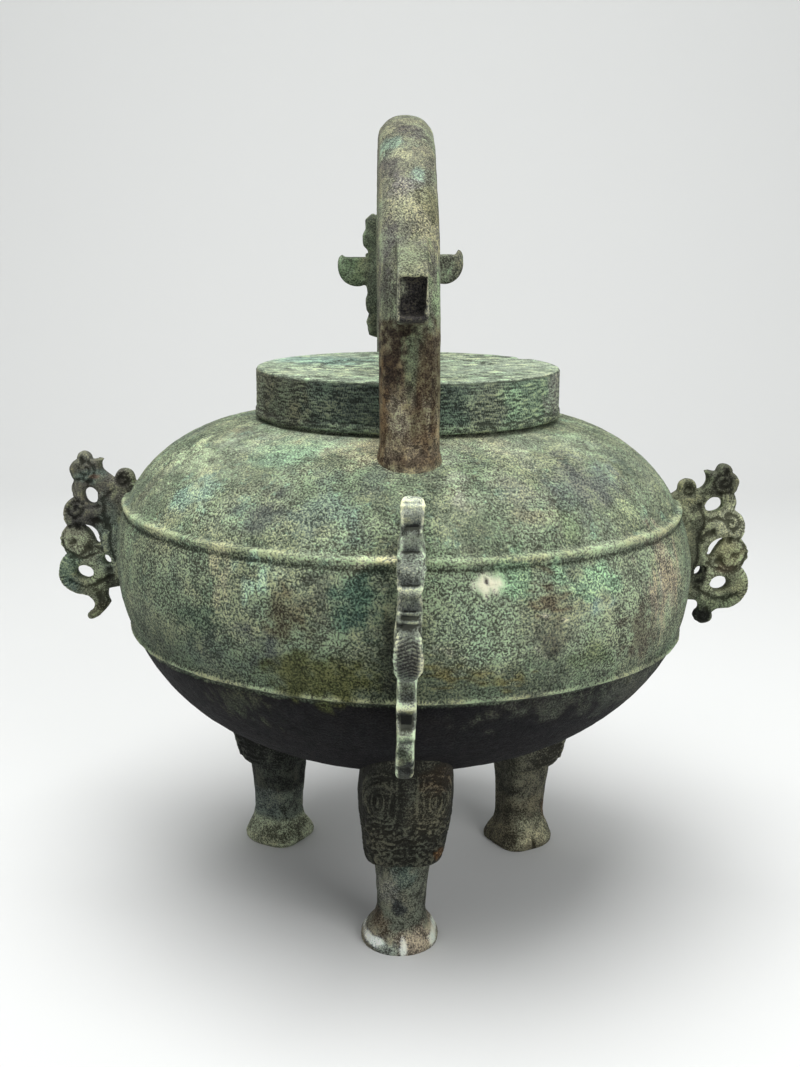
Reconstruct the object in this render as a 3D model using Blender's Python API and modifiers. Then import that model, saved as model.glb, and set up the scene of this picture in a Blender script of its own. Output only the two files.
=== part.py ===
"""Bronze he: a spouted wine vessel on three hoofed legs, with a cap lid, a dragon arching over it as
the handle, and three openwork dragon flanges.

Metres, +Z up. The origin is on the ground under the middle of the belly. The spout points to +Y, the
back is -Y, and the handle's arch stands in the YZ plane. Each cast member is one object, and where it
meets the belly it is cut back to leave a hair's gap.
"""

import math

import bmesh
import bpy
from mathutils import Matrix

GAP = 0.0003  # between two members that touch
BRONZE_WALL = 0.003

# Belly: two arcs of (r / R) ** power + (dz / h) ** 2 = 1 that meet at the widest circle.
BELLY_RADIUS = 0.1242
BELLY_HEIGHT = 0.1491
SHOULDER_RISE = 0.0630
SHOULDER_POWER = 3.85
BOWL_DEPTH = 0.0851
BOWL_POWER = 2.56
BELLY_STEPS = 40

# Two raised bands: height of the crown, and how far it stands proud.
BANDS = ((0.1735, 0.0019), (0.1212, 0.0014))
BAND_HALF_WIDTH = 0.0021

# Mouth and lid.
NECK_RADIUS = 0.0610
LID_RADIUS = 0.0648
LID_TOP = 0.2313
LID_FOOT = 0.2125
LID_WALL = 0.0025
LID_ROUNDEL_RADIUS = 0.0380
LID_ROUNDEL_SINK = 0.0006
LID_ROUNDEL_SLOPE = 0.0008
LID_EDGE = 0.0012  # the worn corner between the top and the skirt
LID_RIM_HEIGHT = 0.0026
LID_RIM_PROUD = 0.0005
LID_SHIFT_X = 0.0012
NECK_TOP = LID_TOP - BRONZE_WALL - GAP

# Handle: a stilted semicircle of D-shaped bar, rounded outside and flatter inside.
BAR_WIDTH = 0.0228
BAR_DEPTH = 0.0215
ARCH_RADIUS = 0.0792  # centre line
ARCH_SPRING = 0.2435
ARCH_PIECES = 16
POST_HEIGHTS = (0.1900, 0.2080, 0.2260)  # from below the shoulder up to the arch
TAIL_WIDTH = 0.0105
TAIL_REACH = 0.1050
TAIL_LOW = 0.2600
TAIL_HIGH = 0.2890
TAIL_END_HEIGHT = 0.0120
TAIL_ROOT_FLARE = 0.0050
HANDLE_SHIFT_X = 0.0010

# Dragon's head on the front of the handle: how far it stands out from the arch's centre line, and its
# masses as (name, how far out, height, radii).
HEAD_OUT = 0.0120
HEAD_MASSES = (
    ("skull", 0.0000, 0.2640, (0.0175, 0.0130, 0.0260)),
    ("snout", 0.0130, 0.2530, (0.0120, 0.0100, 0.0120)),
    ("brow", 0.0090, 0.2720, (0.0160, 0.0080, 0.0070)),
)
CREST_LOBE = (0.0125, 0.2870)  # across and height
CREST_RADII = (0.0065, 0.0070, 0.0080)
HORN_MIDDLE = (0.0225, 0.2685)  # across and height
HORN_RADIUS = 0.0080
HORN_THICKNESS = 0.0090

# Flanges: the openwork plate and where each one stands.
FLANGE_THICKNESS = 0.0088
ARC_PIECE = 0.0029  # length of one straight piece along a rounded edge

# Legs: the height that a lean turns about, and the beast mask's masses as (name, distance from the
# axis, how far to each side, height, radii).
LEG_SIDES = 16
LEAN_HEIGHT = 0.0300
MASK_MASSES = (
    ("nose", 0.0895, 0.0000, 0.0570, (0.0050, 0.0042, 0.0120)),
    ("eye", 0.0868, 0.0095, 0.0650, (0.0050, 0.0052, 0.0044)),
    ("cheek", 0.0800, 0.0080, 0.0450, (0.0060, 0.0060, 0.0048)),
)

# Spout: its channel runs level out of the pot and then straight up the neck. Its head's masses are
# (name, how far to each side, distance from the axis, height, radii).
BORE_RADIUS = 0.0075
BORE_SIDES = 12
BORE_LEVEL = 0.1810
BORE_DISTANCE = 0.1345
BORE_CORNER = 0.0020  # how far each leg of the channel runs past the other's middle
SPOUT_TILT = 35
SPOUT_MASSES = (
    ("jaw", 0.0000, 0.1440, 0.2092, (0.0100, 0.0086, 0.0062)),
    ("ear", 0.0104, 0.1305, 0.2110, (0.0045, 0.0050, 0.0075)),
    ("eye", 0.0092, 0.1400, 0.2140, (0.0034, 0.0038, 0.0036)),
)


def clear_scene():
    for old in list(bpy.data.objects):
        bpy.data.objects.remove(old)


def new_collection(name):
    collection = bpy.data.collections.new(name)
    bpy.context.scene.collection.children.link(collection)
    return collection


def bronze(name, colour, roughness=0.62, metallic=0.55):
    material = bpy.data.materials.new(name)
    material.use_nodes = True
    shader = material.node_tree.nodes["Principled BSDF"]
    shader.inputs["Base Color"].default_value = (*colour, 1.0)
    shader.inputs["Roughness"].default_value = roughness
    shader.inputs["Metallic"].default_value = metallic
    material.diffuse_color = (*colour, 1.0)
    return material


def add_object(name, data, collection, material=None):
    obj = bpy.data.objects.new(name, data)
    collection.objects.link(obj)
    if material:
        data.materials.append(material)
    return obj


def make_cutter(obj):
    obj.hide_render = True
    obj.display_type = "WIRE"
    return obj


def boolean(target, other, operation):
    modifier = target.modifiers.new(f"{operation.title()} {other.name}", "BOOLEAN")
    modifier.operation = operation
    modifier.solver = "EXACT"
    modifier.object = other


def smooth(mesh, angle=35):
    mesh.shade_smooth()
    mesh.set_sharp_from_angle(angle=math.radians(angle))


def turned(name, profile, collection, material=None, steps=BELLY_STEPS):
    """A profile of (radius, height) points, running down its outer side, turned about Z."""
    mesh = bpy.data.meshes.new(name)
    points = [(radius, 0, height) for radius, height in profile]
    mesh.from_pydata(points, [(i, i + 1) for i in range(len(points) - 1)], [])
    obj = add_object(name, mesh, collection, material)
    screw = obj.modifiers.new("Turn", "SCREW")
    screw.axis = "Z"
    screw.steps = steps
    screw.render_steps = steps
    screw.use_merge_vertices = True
    screw.merge_threshold = 0.00005
    screw.use_smooth_shade = True
    return obj


def curve_to_mesh(curve_object):
    """The curve as a closed mesh object of the same name and place, with its caps welded on."""
    graph = bpy.context.evaluated_depsgraph_get()
    mesh = bpy.data.meshes.new_from_object(curve_object.evaluated_get(graph))
    shape = bmesh.new()
    shape.from_mesh(mesh)
    bmesh.ops.remove_doubles(shape, verts=shape.verts, dist=0.00002)
    bmesh.ops.recalc_face_normals(shape, faces=shape.faces)
    shape.to_mesh(mesh)
    shape.free()
    name = curve_object.name
    matrix = curve_object.matrix_world.copy()
    collection = curve_object.users_collection[0]
    curve_object.name = f"{name}_line"
    bpy.data.objects.remove(curve_object)
    obj = add_object(name, mesh, collection)
    obj.matrix_world = matrix
    return obj


def loft(name, rings, collection, material=None):
    """A closed skin over rings that all have the same number of points."""
    shape = bmesh.new()
    rows = [[shape.verts.new(point) for point in ring] for ring in rings]
    count = len(rows[0])
    for low, high in zip(rows, rows[1:]):
        for i in range(count):
            j = (i + 1) % count
            shape.faces.new((low[i], low[j], high[j], high[i]))
    shape.faces.new(rows[0])
    shape.faces.new(rows[-1])
    bmesh.ops.recalc_face_normals(shape, faces=shape.faces)
    mesh = bpy.data.meshes.new(name)
    shape.to_mesh(mesh)
    shape.free()
    return add_object(name, mesh, collection, material)


def ball(name, place, radii, collection, turn=None, segments=10, rings=6):
    """An ellipsoid with its three radii along X, Y and Z before it is turned."""
    shape = bmesh.new()
    bmesh.ops.create_uvsphere(shape, u_segments=segments, v_segments=rings, radius=1.0)
    matrix = Matrix.Translation(place) @ (turn or Matrix()) @ Matrix.Diagonal((*radii, 1.0))
    bmesh.ops.transform(shape, matrix=matrix, verts=shape.verts)
    mesh = bpy.data.meshes.new(name)
    shape.to_mesh(mesh)
    shape.free()
    return make_cutter(add_object(name, mesh, collection))


def belly_radius(height, inset=0.0):
    """The belly's radius at a height, or that of a surface inset from it by a wall."""
    rise = height - BELLY_HEIGHT
    reach, power = (SHOULDER_RISE, SHOULDER_POWER) if rise > 0 else (BOWL_DEPTH, BOWL_POWER)
    share = max(0.0, 1.0 - (rise / (reach - inset)) ** 2)
    return (BELLY_RADIUS - inset) * share ** (1.0 / power)


def belly_height(radius, inset, side):
    """The height of the shoulder (side 1) or the bowl (side -1) at a radius."""
    reach, power = (SHOULDER_RISE, SHOULDER_POWER) if side > 0 else (BOWL_DEPTH, BOWL_POWER)
    share = 1.0 - (radius / (BELLY_RADIUS - inset)) ** power
    return BELLY_HEIGHT + side * (reach - inset) * math.sqrt(max(0.0, share))


def belly_profile(proud):
    """The outside from the neck down to the axis, bands and all, moved out by a distance."""
    heights = []
    for top, bottom, count in ((0.2045, 0.1800, 4), (0.1670, 0.1280, 4), (0.1150, 0.0800, 4)):
        heights += [top + (bottom - top) * i / (count - 1) for i in range(count)]
    for crown, _ in BANDS:
        heights += [crown + BAND_HALF_WIDTH, crown - BAND_HALF_WIDTH]
    points = [(belly_radius(height, -proud), height) for height in heights]
    for crown, height_of_ridge in BANDS:
        for height in (crown + BAND_HALF_WIDTH / 2, crown - BAND_HALF_WIDTH / 2):
            points.append((belly_radius(height, -proud) + height_of_ridge, height))
    points.sort(key=lambda point: -point[1])
    neck = NECK_RADIUS + proud
    shoulder = [(neck, belly_height(neck, -proud, 1)), (0.074, belly_height(0.074, -proud, 1))]
    bowl = [(r, belly_height(r, -proud, -1)) for r in (0.066, 0.046, 0.024, 0.0)]
    return shoulder + points + bowl


def inner_profile():
    """The inside from the bottom's middle up to the neck."""
    bowl = [(r, belly_height(r, BRONZE_WALL, -1)) for r in (0.0, 0.040, 0.072, 0.096)]
    wall = [(belly_radius(z, BRONZE_WALL), z) for z in (0.116, 0.142, 0.166, 0.186)]
    top = belly_height(0.074, BRONZE_WALL, 1)
    neck = NECK_RADIUS - BRONZE_WALL
    return bowl + wall + [(0.074, top), (neck, belly_height(neck, BRONZE_WALL, 1))]


def make_seat(cutters):
    """The belly's outside as a solid, a gap larger, which cuts back whatever is joined to it."""
    profile = belly_profile(GAP)
    top = (0.0, profile[0][1])
    seat = turned("belly_seat", [top] + profile, cutters)
    return make_cutter(seat)


def make_body(parts, bore):
    """The pot: one skin from the bottom's inside, over the lip, to the bottom's outside."""
    neck = [(NECK_RADIUS - BRONZE_WALL, NECK_TOP), (NECK_RADIUS, NECK_TOP)]
    profile = inner_profile() + neck + belly_profile(0.0)
    body = turned("body", profile, parts, bronze("Bronze, green patina", (0.16, 0.22, 0.15)))
    boolean(body, bore[0], "DIFFERENCE")
    return body


def make_lid(parts):
    """A flat cap with a straight skirt, a raised rim along its foot and a sunk roundel on top."""
    inside = LID_RADIUS - LID_WALL
    under = LID_TOP - BRONZE_WALL
    rim_top = LID_FOOT + LID_RIM_HEIGHT
    rim = LID_RADIUS + LID_RIM_PROUD
    roundel = LID_TOP - LID_ROUNDEL_SINK
    profile = [
        (0.0, roundel),
        (LID_ROUNDEL_RADIUS - LID_ROUNDEL_SLOPE, roundel),
        (LID_ROUNDEL_RADIUS, LID_TOP),
        (LID_RADIUS - LID_EDGE, LID_TOP),
        (LID_RADIUS - LID_EDGE / 4, LID_TOP - LID_EDGE / 3),
        (LID_RADIUS, LID_TOP - LID_EDGE),
        (LID_RADIUS, rim_top + LID_RIM_PROUD),
        (rim, rim_top),
        (rim, LID_FOOT),
        (inside, LID_FOOT),
        (inside, under),
        (0.0, under),
    ]
    lid = turned("lid", profile, parts, bronze("Bronze, pale verdigris", (0.20, 0.30, 0.21)))
    lid.location.x = LID_SHIFT_X
    return lid


def bar_section():
    """The handle's section, flat towards the lid: local X is its width and +Y its rounded outside."""
    half = BAR_WIDTH / 2
    dome = [
        (half * math.cos(angle), half * 0.1 + (BAR_DEPTH / 2) * math.sin(angle))
        for angle in (math.radians(15 + 150 * i / 6) for i in range(7))
    ]
    flat = [(-half, -half * 0.45), (-half * 0.62, -BAR_DEPTH / 2), (half * 0.62, -BAR_DEPTH / 2)]
    return dome + flat + [(half, -half * 0.45)]


def make_handle(parts, cutters, seat):
    """The dragon: its arched body, its tail stub at the back and its horned head at the front."""
    outline = bar_section()
    rings = []
    for height in POST_HEIGHTS:
        rings.append([(x, -(ARCH_RADIUS + y), height) for x, y in outline])
    for i in range(ARCH_PIECES + 1):
        angle = math.pi - math.pi * i / ARCH_PIECES
        rings.append([
            (x, (ARCH_RADIUS + y) * math.cos(angle), ARCH_SPRING + (ARCH_RADIUS + y) * math.sin(angle))
            for x, y in outline
        ])
    for height in reversed(POST_HEIGHTS):
        rings.append([(x, ARCH_RADIUS + y, height) for x, y in outline])
    handle = loft("handle", rings, parts, bronze("Bronze, grey-brown patina", (0.17, 0.17, 0.12)))
    smooth(handle.data)

    members = [tail_stub(cutters)] + dragon_head(cutters)
    for member in members:
        boolean(handle, member, "UNION")
    boolean(handle, seat, "DIFFERENCE")
    handle.location.x = HANDLE_SHIFT_X
    for member in members:
        member.location.x += HANDLE_SHIFT_X
    return handle


def tail_stub(cutters):
    """The broken tail's root: a narrow block that slopes out of the back of the arch."""
    inner = -(ARCH_RADIUS + BAR_DEPTH / 4)
    half = TAIL_WIDTH / 2
    rings = []
    for y, low, high in (
        (inner, TAIL_LOW - TAIL_ROOT_FLARE, TAIL_HIGH + TAIL_ROOT_FLARE),
        (-TAIL_REACH, TAIL_LOW, TAIL_LOW + TAIL_END_HEIGHT),
    ):
        rings.append([(-half, y, low), (half, y, low), (half, y, high), (-half, y, high)])
    return make_cutter(loft("tail_stub", rings, cutters))


def dragon_head(cutters):
    """Head, brow, snout, crest lobes and two upturned horns, facing out over the spout."""
    head_y = ARCH_RADIUS + HEAD_OUT
    parts = []
    for name, out, height, radii in HEAD_MASSES:
        parts.append(ball(f"dragon_{name}", (0, head_y + out, height), radii, cutters))
    for side in (-1, 1):
        lobe = (side * CREST_LOBE[0], head_y, CREST_LOBE[1])
        parts.append(ball(f"dragon_crest_{side + 2}", lobe, CREST_RADII, cutters))
        parts.append(horn(side, head_y, cutters))
    return parts


def horn(side, head_y, cutters):
    """A thick crescent: round below, hollowed above, its tip turned up at the outer end."""
    curve = bpy.data.curves.new("horn", "CURVE")
    curve.dimensions = "2D"
    curve.fill_mode = "BOTH"
    curve.extrude = HORN_THICKNESS / 2
    spline = curve.splines.new("POLY")
    middle, low = HORN_MIDDLE
    root = middle - 1.5 * HORN_RADIUS
    root_half = 0.6 * HORN_RADIUS
    arc = [
        (middle + HORN_RADIUS * math.cos(a), low + HORN_RADIUS * math.sin(a))
        for a in (math.radians(180 + 210 * i / 9) for i in range(10))
    ]
    tip = (middle + 0.8 * HORN_RADIUS, low + 1.2 * HORN_RADIUS)
    hollow = (middle + 0.12 * HORN_RADIUS, low + 0.7 * HORN_RADIUS)
    points = [(root, low + root_half), (root, low - root_half)] + arc + [tip, hollow]
    spline.points.add(len(points) - 1)
    for target, (x, z) in zip(spline.points, points):
        target.co = (side * x, z, 0, 1)
    spline.use_cyclic_u = True
    obj = add_object(f"dragon_horn_{side + 2}", curve, cutters)
    obj.matrix_world = Matrix.Translation((0, head_y, 0)) @ Matrix.Rotation(math.pi / 2, 4, "X")
    bpy.context.view_layer.update()
    return make_cutter(curve_to_mesh(obj))


def arc_points(start, crown, end):
    """Points of the arc from start, past crown, towards end, without end itself."""
    (ax, ay), (bx, by), (cx, cy) = start, crown, end
    twice = 2 * (ax * (by - cy) + bx * (cy - ay) + cx * (ay - by))
    if abs(twice) < 1e-8:
        return [start]
    a2, b2, c2 = ax * ax + ay * ay, bx * bx + by * by, cx * cx + cy * cy
    x = (a2 * (by - cy) + b2 * (cy - ay) + c2 * (ay - by)) / twice
    y = (a2 * (cx - bx) + b2 * (ax - cx) + c2 * (bx - ax)) / twice
    radius = math.hypot(ax - x, ay - y)
    first = math.atan2(ay - y, ax - x)
    sweep = (math.atan2(cy - y, cx - x) - first) % math.tau
    if (math.atan2(by - y, bx - x) - first) % math.tau > sweep:
        sweep -= math.tau
    pieces = max(1, round(radius * abs(sweep) / ARC_PIECE))
    angles = [first + sweep * i / pieces for i in range(pieces)]
    return [(x + radius * math.cos(angle), y + radius * math.sin(angle)) for angle in angles]


# The dragon's edge as (notch, crown, notch, crown, ...), from its crest round its outer side to its
# rump: distance from the vessel's axis, and height. The back flange's dragon hangs higher.
DRAGON_CREST = [
    (0.1317, 0.1813), (0.1320, 0.1838), (0.1306, 0.1862), (0.1334, 0.1860), (0.1360, 0.1856),
    (0.1383, 0.1894), (0.1424, 0.1857), (0.1457, 0.1810), (0.1437, 0.1768), (0.1450, 0.1729),
    (0.1441, 0.1690), (0.1490, 0.1636), (0.1474, 0.1564), (0.1511, 0.1497), (0.1480, 0.1437),
    (0.1521, 0.1345), (0.1423, 0.1251),
]
STUMP_TAIL = [
    (0.1395, 0.1246), (0.1364, 0.1232), (0.1366, 0.1204), (0.1348, 0.1184), (0.1328, 0.1177),
    (0.1302, 0.1187), (0.1284, 0.1212), (0.1305, 0.1240), (0.1306, 0.1268), (0.1285, 0.1290),
    (0.1260, 0.1290), (0.1180, 0.1290),
]
HOOKED_TAIL = [
    (0.1400, 0.1243), (0.1374, 0.1220), (0.1373, 0.1195), (0.1395, 0.1170), (0.1401, 0.1152),
    (0.1375, 0.1147), (0.1335, 0.1172), (0.1302, 0.1215), (0.1312, 0.1262), (0.1305, 0.1282),
    (0.1290, 0.1288), (0.1180, 0.1286),
]
LONG_TAIL = [
    (0.1400, 0.1246), (0.1385, 0.1225), (0.1425, 0.1165), (0.1395, 0.1105), (0.1425, 0.1050),
    (0.1380, 0.1000), (0.1395, 0.0945), (0.1345, 0.0900), (0.1320, 0.0868), (0.1265, 0.0850),
    (0.1235, 0.0860), (0.1215, 0.0905), (0.1235, 0.0935), (0.1225, 0.0965), (0.1100, 0.0985),
]
# Holes: centre, long and short half-size, and tilt in degrees.
DRAGON_HOLES = [
    ((0.1359, 0.1708), (0.0036, 0.0028), 28),
    ((0.1392, 0.1362), (0.0036, 0.0026), 12),
    ((0.1296, 0.1418), (0.0019, 0.0011), 65),
]
SLOT_CENTRE = (0.1438, 0.1503)
SLOT_RADIUS = 0.0078
SLOT_WIDTH = 0.0017
LONG_TAIL_HOLE = ((0.1335, 0.1085), (0.0034, 0.0024), 70)


def flange_outline(rise, curl, tail):
    """The whole edge: the curl that touches the shoulder, the dragon's outer side, and its tail."""
    u, v = curl
    start = (u - 0.012, v - 0.004)
    curl_edge = [start, (u - 0.0082, v - 0.0028), (u - 0.0045, v - 0.0010), (u - 0.0004, v + 0.0040),
                 (u + 0.0040, v - 0.0006)]
    crest = [(a, b + rise) for a, b in DRAGON_CREST]
    dip_middle = ((u + 0.0040 + crest[0][0]) / 2, crest[0][1] - 0.0024)
    run = curl_edge + [dip_middle] + crest + [(a, b + rise) for a, b in tail]
    points = []
    for i in range(0, len(run) - 2, 2):
        points += arc_points(run[i], run[i + 1], run[i + 2])
    return points + [run[-1]]


def oval(centre, half_sizes, tilt, count=10):
    turn = math.radians(tilt)
    points = []
    for i in range(count):
        a = math.tau * i / count
        x, y = half_sizes[0] * math.cos(a), half_sizes[1] * math.sin(a)
        points.append((centre[0] + x * math.cos(turn) - y * math.sin(turn),
                       centre[1] + x * math.sin(turn) + y * math.cos(turn)))
    return points


def slot_outline(rise):
    """A thin crescent slot round the inner side of the dragon's eye disc."""
    angles = [math.radians(110 + 90 * i / 5) for i in range(6)]
    outer, inner = SLOT_RADIUS + SLOT_WIDTH / 2, SLOT_RADIUS - SLOT_WIDTH / 2
    points = [(outer * math.cos(a), outer * math.sin(a)) for a in angles]
    points += [(inner * math.cos(a), inner * math.sin(a)) for a in reversed(angles)]
    return [(SLOT_CENTRE[0] + x, SLOT_CENTRE[1] + rise + y) for x, y in points]


def make_flange(name, azimuth, rise, curl, tail, seat, parts, cutters):
    """One openwork plate in the plane through the vessel's axis at an azimuth."""
    curve = bpy.data.curves.new(name, "CURVE")
    curve.dimensions = "2D"
    curve.fill_mode = "BOTH"
    curve.extrude = FLANGE_THICKNESS / 2
    holes = list(DRAGON_HOLES)
    if tail is LONG_TAIL:
        holes.append(LONG_TAIL_HOLE)
    outlines = [flange_outline(rise, curl, tail), slot_outline(rise)]
    for (u, v), half_sizes, tilt in holes:
        outlines.append(oval((u, v + rise), half_sizes, tilt))
    for outline in outlines:
        spline = curve.splines.new("POLY")
        spline.points.add(len(outline) - 1)
        for target, (u, v) in zip(spline.points, outline):
            target.co = (u, v, 0, 1)
        spline.use_cyclic_u = True
    line = add_object(name, curve, parts)
    stand = Matrix.Rotation(math.radians(azimuth), 4, "Z") @ Matrix.Rotation(math.pi / 2, 4, "X")
    line.matrix_world = stand
    bpy.context.view_layer.update()
    flange = curve_to_mesh(line)
    flange.data.materials.append(bronze(f"Bronze, {name}", (0.15, 0.17, 0.13)))
    boolean(flange, seat, "DIFFERENCE")
    return flange


# A leg's sections: height, half width, and distance of its inner and outer face from the axis.
LEG_SECTIONS = [
    (0.0000, 0.0144, 0.0538, 0.0822),
    (0.0035, 0.0156, 0.0528, 0.0834),
    (0.0085, 0.0146, 0.0532, 0.0822),
    (0.0125, 0.0114, 0.0542, 0.0796),
    (0.0190, 0.0095, 0.0546, 0.0788),
    (0.0300, 0.0106, 0.0550, 0.0800),
    (0.0385, 0.0122, 0.0554, 0.0820),
    (0.0405, 0.0146, 0.0552, 0.0848),
    (0.0480, 0.0156, 0.0550, 0.0892),
    (0.0600, 0.0176, 0.0545, 0.0932),
    (0.0720, 0.0190, 0.0540, 0.0950),
    (0.0840, 0.0186, 0.0535, 0.0950),
    (0.1000, 0.0165, 0.0530, 0.0930),
]


def leg_ring(height, half_width, inner, outer, lean):
    """A D: a full round outer side, and a flatter inner side with soft corners."""
    middle = inner + (outer - inner) * 0.42
    points = []
    for i in range(LEG_SIDES):
        angle = math.tau * i / LEG_SIDES
        across, out = math.cos(angle), math.sin(angle)
        if out < 0:
            across = math.copysign(abs(across) ** 0.5, across)
            depth = -(middle - inner) * abs(out) ** 0.6
        else:
            depth = (outer - middle) * out
        points.append((middle + depth, half_width * across + lean * (height - LEAN_HEIGHT), height))
    return points


def make_leg(name, azimuth, shift, lean, seat, parts, cutters):
    """A hoofed leg, modelled out along +X and turned to its azimuth."""
    rings = [leg_ring(z, w, inner + shift, outer + shift, lean) for z, w, inner, outer in LEG_SECTIONS]
    leg = loft(name, rings, parts, bronze(f"Bronze, {name}", (0.19, 0.19, 0.14)))
    smooth(leg.data, 50)
    turn = Matrix.Rotation(math.radians(azimuth), 4, "Z")
    reliefs = []
    for mass, distance, across, height, radii in MASK_MASSES:
        for side in (-1, 1) if across else (1,):
            place = (distance + shift, side * across, height)
            title = f"{name}_{mass}_{side + 2}"
            reliefs.append(ball(title, place, radii, cutters, segments=8))
    for relief in reliefs:
        boolean(leg, relief, "UNION")
        relief.matrix_world = turn
    boolean(leg, seat, "DIFFERENCE")
    leg.matrix_world = turn
    return leg


# The spout's middle line as (y, z), with its outer radius.
SPOUT_LINE = [
    (0.0960, 0.1745, 0.0178),
    (0.1130, 0.1775, 0.0176),
    (0.1275, 0.1830, 0.0168),
    (0.1345, 0.1930, 0.0155),
    (0.1354, 0.2030, 0.0132),
    (0.1352, 0.2110, 0.0118),
    (0.1358, 0.2185, 0.0106),
]


def make_bore(cutters):
    """The channel's two legs as round cutters: out through the pot's wall, and up to the open mouth."""
    far_end = BORE_DISTANCE + BORE_CORNER
    near_end = BELLY_RADIUS - 5 * BORE_RADIUS
    low_end = BORE_LEVEL - BORE_CORNER
    high_end = LID_TOP
    legs = []
    for name, middle, length, turn in (
        ("bore_level", (0, (near_end + far_end) / 2, BORE_LEVEL), far_end - near_end, 90),
        ("bore_upright", (0, BORE_DISTANCE, (low_end + high_end) / 2), high_end - low_end, 0),
    ):
        shape = bmesh.new()
        bmesh.ops.create_cone(
            shape, cap_ends=True, segments=BORE_SIDES, radius1=BORE_RADIUS, radius2=BORE_RADIUS, depth=length
        )
        matrix = Matrix.Translation(middle) @ Matrix.Rotation(math.radians(turn), 4, "X")
        bmesh.ops.transform(shape, matrix=matrix, verts=shape.verts)
        mesh = bpy.data.meshes.new(name)
        shape.to_mesh(mesh)
        shape.free()
        legs.append(make_cutter(add_object(name, mesh, cutters)))
    return legs


def make_spout(parts, cutters, seat, bore):
    """A curved neck that rises from the shoulder and ends in a dragon's open mouth."""
    curve = bpy.data.curves.new("spout", "CURVE")
    curve.dimensions = "3D"
    curve.use_fill_caps = True
    curve.bevel_depth = 1.0
    curve.bevel_resolution = 2
    curve.resolution_u = 2
    spline = curve.splines.new("BEZIER")
    spline.bezier_points.add(len(SPOUT_LINE) - 1)
    for target, (y, z, radius) in zip(spline.bezier_points, SPOUT_LINE):
        target.co = (0, y, z)
        target.handle_left_type = "AUTO"
        target.handle_right_type = "AUTO"
        target.radius = radius
    line = add_object("spout", curve, parts)
    bpy.context.view_layer.update()
    spout = curve_to_mesh(line)
    spout.data.materials.append(bronze("Bronze, spout", (0.16, 0.21, 0.15)))
    smooth(spout.data)
    tilt = Matrix.Rotation(math.radians(SPOUT_TILT), 4, "X")
    for name, across, distance, height, radii in SPOUT_MASSES:
        for side in (-1, 1) if across else (1,):
            place = (side * across, distance, height)
            mass = ball(f"spout_{name}_{side + 2}", place, radii, cutters, tilt, 8)
            boolean(spout, mass, "UNION")
    for leg in bore:
        boolean(spout, leg, "DIFFERENCE")
    boolean(spout, seat, "DIFFERENCE")
    return spout


def main():
    clear_scene()
    parts = new_collection("Bronze he vessel")
    cutters = new_collection("Cutters")
    seat = make_seat(cutters)
    bore = make_bore(cutters)
    make_body(parts, bore)
    make_lid(parts)
    make_handle(parts, cutters, seat)
    make_spout(parts, cutters, seat, bore)
    side_curl = (0.1238, 0.1786)
    left_curl = (0.1222, 0.1818)
    back_curl = (0.1150, 0.1895)
    make_flange("flange_right", 0, 0.0, side_curl, STUMP_TAIL, seat, parts, cutters)
    make_flange("flange_left", 180, 0.0042, left_curl, HOOKED_TAIL, seat, parts, cutters)
    make_flange("flange_back", -90, 0.0120, back_curl, LONG_TAIL, seat, parts, cutters)
    make_leg("leg_back", -90, 0.0, 0.035, seat, parts, cutters)
    make_leg("leg_right", 30, -0.0015, 0.0, seat, parts, cutters)
    make_leg("leg_left", 150, 0.0012, 0.0, seat, parts, cutters)


main()
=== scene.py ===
import math

import bpy
import numpy as np
from mathutils import Matrix, Vector, noise


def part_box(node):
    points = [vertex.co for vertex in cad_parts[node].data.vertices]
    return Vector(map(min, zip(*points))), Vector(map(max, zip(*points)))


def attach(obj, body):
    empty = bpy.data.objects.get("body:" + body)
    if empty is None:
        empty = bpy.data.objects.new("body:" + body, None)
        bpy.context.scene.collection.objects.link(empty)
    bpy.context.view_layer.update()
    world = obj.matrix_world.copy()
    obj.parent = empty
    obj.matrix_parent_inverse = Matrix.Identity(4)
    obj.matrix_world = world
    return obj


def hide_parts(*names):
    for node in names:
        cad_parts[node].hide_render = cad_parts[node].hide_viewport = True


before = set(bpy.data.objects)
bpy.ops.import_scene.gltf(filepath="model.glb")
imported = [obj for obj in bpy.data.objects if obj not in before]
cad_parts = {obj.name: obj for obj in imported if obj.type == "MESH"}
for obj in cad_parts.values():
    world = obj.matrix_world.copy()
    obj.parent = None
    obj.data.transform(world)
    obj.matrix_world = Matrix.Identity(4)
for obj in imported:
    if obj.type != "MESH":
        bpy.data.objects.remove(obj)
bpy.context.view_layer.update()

MM = 0.001  # every length below is in millimetres and becomes metres as a mesh is made
noise.seed_set(1795343308)  # so that the patches of salts have the same ragged edges in each run


# ---------------------------------------------------------------- camera, light and floor

CAMERA_PLACE = (-0.0018, -0.6226, 0.2967)  # metres
CAMERA_LENS = 48.92  # mm
CAMERA_DIP, CAMERA_ROLL = 12.6, 0.32  # degrees below level, and out of plumb
FLOOR_SIZE, BACKDROP_BEND, BACKDROP_HEIGHT = 5.0, 0.6, 2.6  # metres
# Softboxes: place, aim, size in metres and power in watts.
LAMPS = {
    "Softbox overhead": ((-0.1, -0.2, 1.4), (0, 0, 0.1), 1.1, 20.5),
    "Fill from the front": ((1.0, -1.5, 0.9), (0, 0, 0.12), 1.0, 12.5),
    "Backdrop light": ((0, 0.5, 1.7), (0, 1.5, 0.6), 1.2, 5.0),
}


def linear(hex_colour):
    """An sRGB colour such as "#8fa08a" as linear RGBA."""
    parts = [int(hex_colour[i:i + 2], 16) / 255 for i in (1, 3, 5)]
    return tuple(c / 12.92 if c <= 0.04045 else ((c + 0.055) / 1.055) ** 2.4 for c in parts) + (1.0,)


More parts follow.
